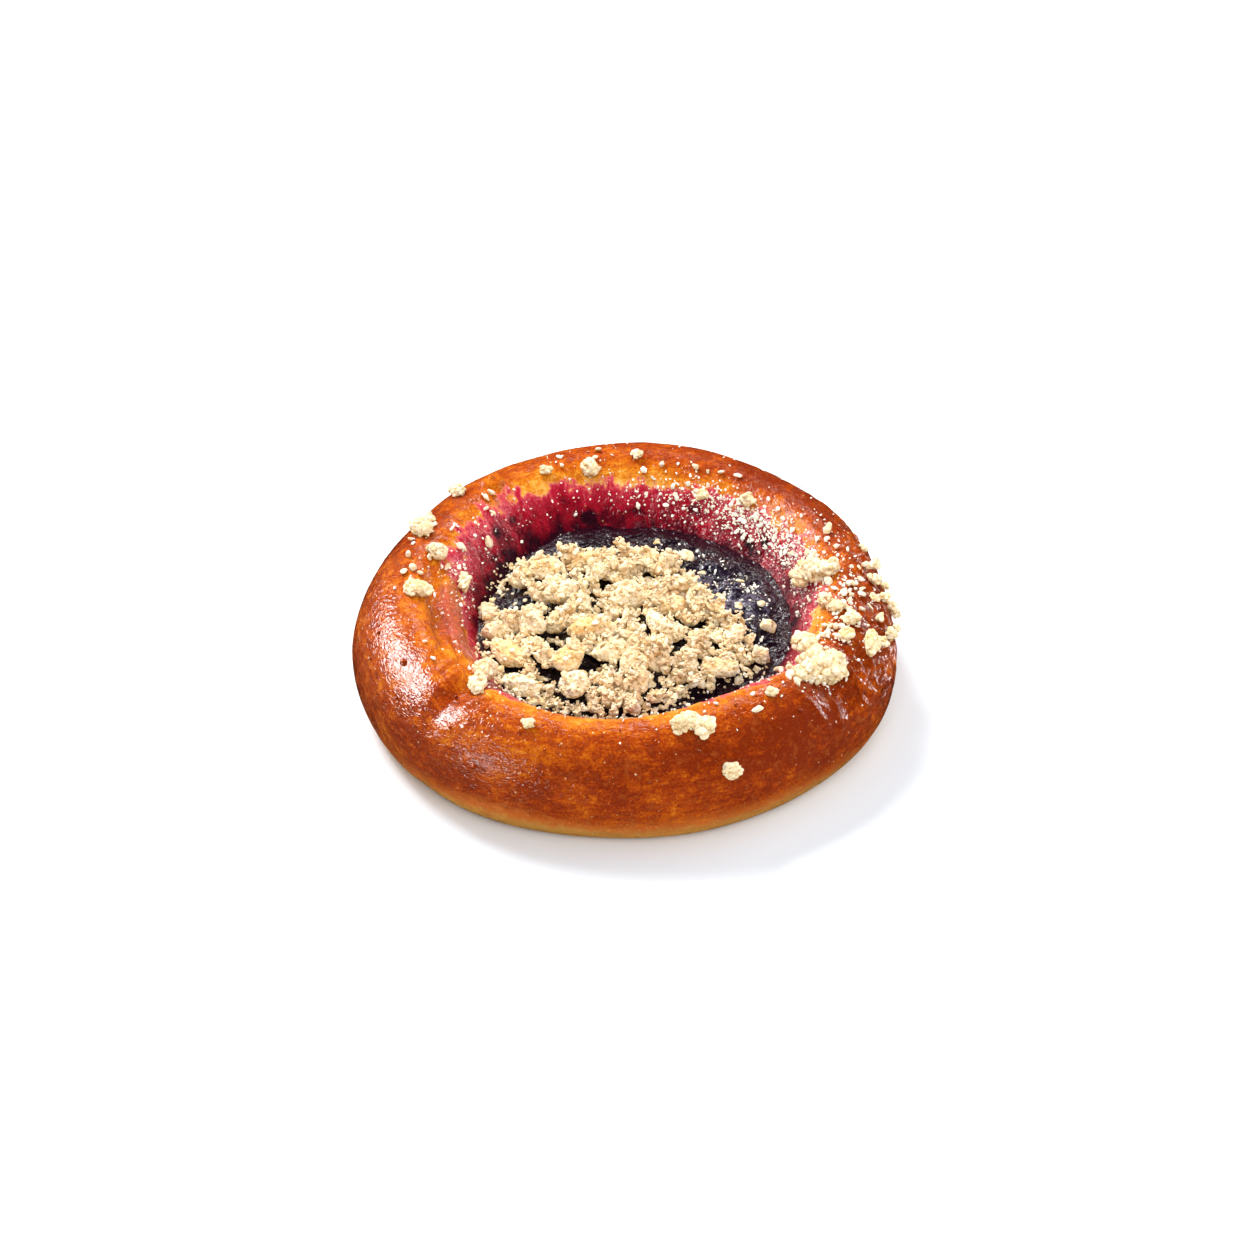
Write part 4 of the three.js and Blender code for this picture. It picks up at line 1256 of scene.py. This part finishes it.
# Medium crumbs between the large pieces, each leaning at random where it lands.
def makeHeapBits():
    pile = startPile()
    for x, y in heapPlaces(heap["mediums"], *heap["mediumSpread"]):
        long = heapRandom.uniform(*heap["mediumLong"])
        wide = long * heapRandom.uniform(*heap["mediumWide"])
        tall = long * heapRandom.uniform(*heap["mediumTall"])
        size = (long, wide, tall)
        onMap, onCore, onBoth = [share * tall for share in heap["mediumRest"]]
        top = fillingTop(x, y) + coreThickness(x, y) * core["share"]
        z = max(groundAt(x, y) + onMap, top + onCore) + onBoth
        z = min(z, heap["mediumTop"] - tall / 2)
        way = heapRandom.normal(size=3) * heap["mediumLean"] + upward
        matrix = leanMatrix(way / np.linalg.norm(way), heapRandom.uniform(0, aboutTurn))
        toast = heapRandom.uniform(*heap["mediumToast"])
        addLump(pile, heapRandom, 4, [x, y, z], size, matrix, toast, heap["mediumSkin"])
        coverMap(x, y, z, size)
    makePile(pile, "heapBits", "streusel_heap")


# What sets the scattered pieces apart: ball level, how far they sink, range of toast, how much lighter.
scatter = {
    "heapGrains": (2, 0.3, (0.0, 0.5), 0.0),
    "heapFines": (1, 0.3, (0.0, 0.5), 0.0),
    "looseCrumbs": (3, 0.2, (0.0, 0.4), 0.15),
    "crustDust": (1, 0.25, (0.0, 0.1), 0.6),
    "fillingDust": (1, 0.2, (0.0, 0.1), 0.6),
}
copies = {
    "variants": 6,  # crumb shapes that each scattered piece repeats
    "shape": (1, 0.8, 0.7),
    "skin": (0.6, 0.12),
    "rough": 1.6,
    "tilt": 0.35,
    "stretch": (0.6, 1.35),
    "rest": 0.35,  # share of its size at which a crumb's middle would rest
    "light": (0.5, 1.05),
    "evenLight": 0.55,  # shares of that light and of the skin's height
    "skinLight": 0.4,
}


# A few crumb shapes repeated many times: each copy is stretched, turned and tilted at random, stood on its
# normal and set in place.
def scatterCrumbs(name, node, random, places, sizes, normals=None):
    level, sink, toast, lighter = scatter[name]
    pile = startPile()
    pick = random.integers(0, copies["variants"], len(places))
    for variant in range(copies["variants"]):
        shape, height = lumpShape(random, level, copies["shape"], copies["skin"], 0, copies["rough"])
        chosen = np.where(pick == variant)[0]
        count = len(chosen)
        if not count:
            continue
        heading = random.uniform(0, fullTurn, count)
        tilt = random.normal(0, copies["tilt"], (count, 2))
        c, s = np.cos(heading), np.sin(heading)
        stretch = random.uniform(*copies["stretch"], (count, 3)) * sizes[chosen, None]
        local = shape[None] * stretch[:, None]
        x = local[..., 0] * c[:, None] - local[..., 1] * s[:, None]
        y = local[..., 0] * s[:, None] + local[..., 1] * c[:, None]
        z = local[..., 2] + x * tilt[:, :1] + y * tilt[:, 1:]
        up = upward
        local = np.stack([x, y, z], -1)
        if normals is not None:
            up = normals[chosen]
            side = np.cross(up, [0.0, 1.0, 0.0])
            side /= np.maximum(np.linalg.norm(side, axis=-1, keepdims=True), 1e-6)
            other = np.cross(up, side)
            local = x[..., None] * side[:, None] + y[..., None] * other[:, None] + z[..., None] * up[:, None]
        centre = places[chosen] + up * (sizes[chosen] * (copies["rest"] - sink))[:, None]
        points = (local + centre[:, None]).reshape(-1, 3)
        shift = np.arange(count)[:, None, None] * len(shape)
        faces = (ballLevels[level][1][None] + shift).reshape(-1, 3)
        # Painted shade: light by chance and by the skin's grain height, darker low on each crumb; dust is
        # lighter still.
        light = copies["evenLight"] * np.repeat(random.uniform(*copies["light"], count), len(shape))
        light = light + copies["skinLight"] * np.tile(height, count)
        light = light * np.tile(underShade(shape[:, 2]), count) + lighter
        brown = np.repeat(random.uniform(*toast, count), len(shape))
        addToPile(pile, points, faces, light, brown)
    makePile(pile, name, node)


# Drops crumbs on the map one by one: each rests at its cell's height and raises the map for the next.
def landed(places, sizes, highest):
    z = np.zeros(len(places))
    for i, ((x, y), size) in enumerate(zip(places, sizes)):
        z[i] = groundAt(x, y)
        coverMap(x, y, z[i] + size * 0.1, (size, size, size * 0.7))
    return np.concatenate([places, np.minimum(z, highest)[:, None]], -1)


# The heap's grains and its fines, landed at random places inside its outline.
def makeHeapGrains():
    grains = heapPlaces(heap["grains"], *heap["grainSpread"])
    sizes = heapRandom.uniform(*heap["grainLong"], len(grains))
    grains = landed(grains, sizes, heap["grainTop"])
    scatterCrumbs("heapGrains", "streusel_heap", heapRandom, grains, sizes)
    fines = heapPlaces(heap["tiny"], *heap["tinySpread"])
    sizes = heapRandom.uniform(*heap["tinyLong"], len(fines))
    fines = landed(fines, sizes, heap["tinyTop"])
    scatterCrumbs("heapFines", "streusel_heap", heapRandom, fines, sizes)


makeHeapLumps()
makeCore()
makeHeapBits()
makeHeapGrains()
print("crumb heap ready")

# Crumbs that the glaze holds on the crust: turn, step, size, length (0 lets chance choose).
rimCrumbs = [
    (160, 2.85, 5.2, 0), (155, 2.79, 3.4, 0), (168, 3.11, 4, 0), (186, 3.05, 4.6, 0), (102, 3.16, 4.2, 0),
    (140, 2.79, 3, 0), (292, 2.3, 3.5, 0), (353, 3.19, 3.3, 0), (348, 3.08, 3.2, 0), (344, 2.92, 3.2, 0),
    (338, 2.91, 3, 0), (340, 2.63, 3.4, 7), (2, 2.64, 2.6, 0), (358, 2.52, 2.6, 0), (359, 2.35, 2.2, 0),
    (348, 2.42, 2.6, 0), (246, 2.85, 2, 0), (88, 3.06, 2.1, 0), (115, 3.09, 2.2, 0), (172, 3.38, 3.2, 5.6),
    (66, 3.31, 2.3, 0), (50, 3.24, 2.9, 0), (308, 2.91, 2, 0), (137, 2.56, 2, 0), (9, 2.55, 2, 0),
    (4, 2.44, 1.6, 0), (12, 2.46, 1.5, 0), (355, 2.67, 1.6, 0), (353, 2.3, 1.9, 0), (0, 2.22, 1.6, 0),
    (7, 2.68, 1.4, 0), (344, 2.48, 1.6, 0), (14, 2.62, 1.3, 0), (350, 2.58, 1.4, 0),
]
rimLook = {
    "skin": (0.7, 0.34),
    "grainsPerMm": 6,
    "grainSize": (0.6, 1.5),
    "longHeading": 85,
    "long": (1.0, 1.2),  # shares of the size
    "wide": (0.8, 1.0),
    "tall": 0.75,
    "lift": 0.2,  # share of its height at which the middle rests
    "toast": (0.1, 0.7),
}

# Stray crumbs on the bare filling: x, y, size.
strayCrumbs = [
    (28, -3.4, 3.8), (12.4, 19, 3.4), (23, 12, 1.8), (15.5, 14, 2), (22.5, 3, 2), (27, 4, 1.8),
    (6.5, 24.5, 2), (9, -20, 3.2), (13.5, -19.2, 2.8), (4.5, -21.5, 3), (12, -16, 2.4), (16.5, -21.5, 2.2),
    (7, -16.5, 2),
]
strayLook = {"skin": (1.0, 0.3), "toast": 0.4, "shape": (1, 0.85, 0.75), "lift": 0.12}

# Clumps: lobes as turn, step, long, wide, tall, heading.
clumps = {
    "right": [
        (327, 2.82, 9.4, 8, 6.4, 20), (332, 3.2, 8, 4.2, 4.4, 120), (321, 2.98, 6.6, 3.3, 4, 40),
        (327, 3.06, 5.6, 4.6, 5, 0),
    ],
    "back_right": [(10, 3.34, 6.2, 5, 5, 30), (7.5, 3.24, 6.2, 5, 5, 80), (4.5, 3.14, 5.6, 3, 3.6, 10)],
    "front": [(282.5, 2.84, 3.6, 3, 3, 0), (285.5, 2.85, 5.4, 3.2, 3.4, 160), (288, 2.76, 4.4, 3.6, 3.4, 60)],
    "left": [(221, 3.26, 6.6, 5.2, 5, 70), (225.5, 3.12, 6, 4.2, 4, 80), (229, 3.02, 2.9, 2.4, 2.6, 0)],
}
clumpLook = {
    "skin": (0.8, 0.4),
    "toast": 0.45,
    "shrink": 0.88,
    "lift": 0.25,
    "largeFrom": 4.5,  # length from which a lobe has the finer ball
    "knobs": (7, (0.8, 2.4)),  # stuck grains per mm of length, and their sizes
    "knobsLeft": (3, (0.5, 1.4)),
}


# A place over the crust, lifted along its normal, and that normal.
def crustSpot(turnDeg, step, lift):
    turn = math.radians(turnDeg)
    normal = crustNormal(turn, step)
    return crustPoint(turn, step) + normal * lift, normal


rimRandom = np.random.default_rng(3)


# The crumbs on the crust, each sunk a little and leaning with it.
def makeRimCrumbs():
    pile = startPile()
    for turnDeg, step, size, given in rimCrumbs:
        tall = size * rimLook["tall"]
        place, normal = crustSpot(turnDeg, step, tall * rimLook["lift"])
        long = given or size * rimRandom.uniform(*rimLook["long"])
        spread = (long, size * rimRandom.uniform(*rimLook["wide"]), tall)
        heading = math.radians(rimLook["longHeading"]) if given else rimRandom.uniform(0, math.pi)
        matrix = leanMatrix(normal, heading)
        toast = rimRandom.uniform(*rimLook["toast"])
        look = (rimLook["skin"], 0, int(size * rimLook["grainsPerMm"]), rimLook["grainSize"])
        addLump(pile, rimRandom, 4, place, spread, matrix, toast, *look)
    makePile(pile, "crustCrumbs", "bun")


# The crumbs on the bare filling, a little over its top.
def makeStrayCrumbs():
    pile = startPile()
    for x, y, size in strayCrumbs:
        place = [x, y, fillingTop(x, y) + size * strayLook["lift"]]
        matrix = headingMatrix(rimRandom.uniform(0, math.pi))
        spread = [size * share for share in strayLook["shape"]]
        addLump(pile, rimRandom, 4, place, spread, matrix, strayLook["toast"], strayLook["skin"])
    makePile(pile, "strayCrumbs", "filling")


# The four clumps, each of overlapping lobes that lean with the crust and carry knobs of crumb.
def makeClumps():
    for side, lobes in clumps.items():
        pile = startPile()
        perMm, knobSize = clumpLook["knobsLeft" if side == "left" else "knobs"]
        for turnDeg, step, long, wide, tall, heading in lobes:
            place, normal = crustSpot(turnDeg, step, tall * clumpLook["lift"])
            matrix = leanMatrix(normal, math.radians(heading))
            level = 5 if long > clumpLook["largeFrom"] else 4
            size = [edge * clumpLook["shrink"] for edge in (long, wide, tall)]
            look = (clumpLook["toast"], clumpLook["skin"], 0, int(long * perMm), knobSize)
            addLump(pile, rimRandom, level, place, size, matrix, *look)
        makePile(pile, "clump." + side, "streusel_clump_" + side)


makeRimCrumbs()
makeStrayCrumbs()
makeClumps()
print("larger crumbs ready")

dust = {
    "wall": 1200,  # thickest at the back right of the wall
    "rim": 280,
    "side": 50,
    "bay": 1000,
    "bayTurn": (20, 32),  # middle and spread in degrees
    "bayOut": (10, 27.5),
    "crumbSize": (0.9, 2.0),
    "onCrust": (0.19, 0.2, 1.6),  # sizes: scale of the gamma draw, least, most
    "onFilling": (0.17, 0.2, 1.2),
    "shape": 1.5,  # shape of the gamma draw
    "steps": (2.1, 3.6),  # steps of the crust that it keeps to
}

# Where the dust and the loose crumbs lie on the crust: how many, turn and its spread, step and its spread.
dustSpots = [
    (dust["wall"], 42, 20, 3.35, 0.08), (110, 10, 10, 3.3, 0.1), (90, 84, 14, 3.3, 0.1),
    (80, 130, 22, 3.3, 0.12), (90, 176, 12, 3.3, 0.12), (dust["rim"], 352, 18, 3.05, 0.16),
    (90, 332, 14, 2.85, 0.2), (70, 300, 25, 3.15, 0.07), (60, 225, 16, 3.2, 0.08), (40, 60, 40, 3.0, 0.14),
    (dust["side"], 180, 90, 2.8, 0.2),
]
crumbSpots = [
    (34, 348, 9, 2.95, 0.14), (22, 331, 8, 3.1, 0.12), (12, 318, 6, 2.9, 0.08), (14, 8, 6, 3.2, 0.1),
    (16, 165, 14, 3.05, 0.14), (7, 120, 20, 3.1, 0.1), (5, 70, 20, 3.15, 0.1),
]
dustRandom = np.random.default_rng(17)


# Places on the crust drawn as bell curves in turn and step round each spot, with their normals.
def crustScatter(spots):
    places, normals = [], []
    for count, turnDeg, turnSpread, step, stepSpread in spots:
        turn = np.radians(dustRandom.normal(turnDeg, turnSpread, count))
        steps = np.clip(dustRandom.normal(step, stepSpread, count), *dust["steps"])
        places.append(crustPoint(turn, steps))
        normals.append(crustNormal(turn, steps))
    return np.concatenate(places), np.concatenate(normals)


# Sizes of dust: many small and few large, as a gamma draw gives, from a least size and held under a most.
def dustSizes(count, scale, least, most):
    return np.clip(dustRandom.gamma(dust["shape"], scale, count) + least, least, most)


# The loose crumbs and the dust on the crust, and the dust on the bare bay of the filling.
def makeDust():
    places, normals = crustScatter(crumbSpots)
    sizes = dustRandom.uniform(*dust["crumbSize"], len(places))
    scatterCrumbs("looseCrumbs", "bun", dustRandom, places, sizes, normals)
    places, normals = crustScatter(dustSpots)
    scatterCrumbs("crustDust", "bun", dustRandom, places, dustSizes(len(places), *dust["onCrust"]), normals)
    turn = np.radians(dustRandom.normal(*dust["bayTurn"], dust["bay"]))
    out = dustRandom.uniform(*dust["bayOut"], dust["bay"])
    x = well["x"] + out * np.cos(turn)
    y = well["y"] + out * np.sin(turn)
    sizes = dustSizes(dust["bay"], *dust["onFilling"])
    places = np.stack([x, y, fillingTop(x, y)], -1)
    scatterCrumbs("fillingDust", "filling", dustRandom, places, sizes)


makeDust()
print("dust ready")

studio = {
    "camera": 0.7,
    "elevation": 39.0,
    "lookAt": (0.000456, 0.000273, 0.012),
    "lens": 100.48,
    "sensor": 36,
    "clip": (0.01, 20),
    "sky": 0.38,
    "floorHalf": 3,
    "floorPaint": (0.87, 0.92, 0.97, 1),
    "floorLook": {"roughness": 0.9, "gloss": 0.0},
}


# The plain pale floor: one square, unseen in reflections.
def makeFloor():
    half = studio["floorHalf"]
    mesh = bpy.data.meshes.new("paleFloor")
    corners = [(-half, -half, 0), (half, -half, 0), (half, half, 0), (-half, half, 0)]
    mesh.from_pydata(corners, [], [(0, 1, 2, 3)])
    floor = bpy.data.objects.new("paleFloor", mesh)
    bpy.context.scene.collection.objects.link(floor)
    material, _, shader, _ = newMaterial("paleFloorPaint", studio["floorLook"])
    shader.inputs["Base Color"].default_value = studio["floorPaint"]
    mesh.materials.append(material)
    floor.visible_glossy = False


# Lights as azimuth and elevation in degrees from the bun, distance, width and height in metres, and watts.
# Those that shine are seen only in reflections, as a window is; the soft ones only light the surfaces.
shining = {
    "windowBackLeft": (160, 34, 1.0, 0.7, 0.6, 30),
    "windowFrontLeft": (-136, 6, 1.0, 0.42, 0.18, 3.2),
    "windowRight": (40, 18, 1.0, 0.3, 0.2, 1.8),
    "panelBack": (88, 43, 1.0, 0.3, 0.15, 2.1),
    "panelLowRight": (20, 9, 0.8, 0.26, 0.14, 3.2),
}
soft = {
    "windowSoft": (128, 50, 1.0, 0.5, 0.4, 14),
    "panelAbove": (20, 70, 1.0, 0.7, 0.7, 2),
    "panelFront": (-75, 46, 1.2, 1.0, 1.0, 8.5),
    "panelRight": (15, 25, 1.0, 0.7, 0.4, 1.5),
}


# Stands a lamp or camera off the point looked at, along a way, and turns its back to that way.
def aimFrom(thing, way, distance):
    thing.location = Vector(studio["lookAt"]) + way * distance
    thing.rotation_mode = "QUATERNION"
    thing.rotation_quaternion = way.to_track_quat("Z", "Y")
    bpy.context.scene.collection.objects.link(thing)


# A rectangular lamp that faces the bun from its azimuth and elevation.
def areaLight(name, azimuth, elevation, distance, width, height, power):
    data = bpy.data.lights.new(name, "AREA")
    data.shape = "RECTANGLE"
    data.size = width
    data.size_y = height
    data.energy = power
    lamp = bpy.data.objects.new(name, data)
    turn, lift = math.radians(azimuth), math.radians(elevation)
    way = Vector((math.cos(turn) * math.cos(lift), math.sin(turn) * math.cos(lift), math.sin(lift)))
    aimFrom(lamp, way, distance)
    return lamp


# All the lamps, and an even white sky that only lights the surfaces.
def makeLights():
    for name, values in shining.items():
        areaLight(name, *values).visible_diffuse = False
    for name, values in soft.items():
        areaLight(name, *values).visible_glossy = False
    world = bpy.data.worlds.new("studioAir")
    world.use_nodes = True
    world.node_tree.nodes["Background"].inputs["Color"].default_value = (1, 1, 1, 1)
    world.node_tree.nodes["Background"].inputs["Strength"].default_value = studio["sky"]
    bpy.context.scene.world = world
    world.cycles_visibility.glossy = False


# The camera at the photo's elevation, straight in front of the bun.
def makeCamera():
    data = bpy.data.cameras.new("photoCamera")
    data.lens = studio["lens"]
    data.sensor_width = studio["sensor"]
    data.clip_start, data.clip_end = studio["clip"]
    camera = bpy.data.objects.new("photoCamera", data)
    lift = math.radians(studio["elevation"])
    aimFrom(camera, Vector((0, -math.cos(lift), math.sin(lift))), studio["camera"])
    bpy.context.scene.camera = camera


makeFloor()
makeLights()
makeCamera()
bpy.context.scene.view_settings.view_transform = "Standard"
print("studio ready")

bpy.context.view_layer.update()
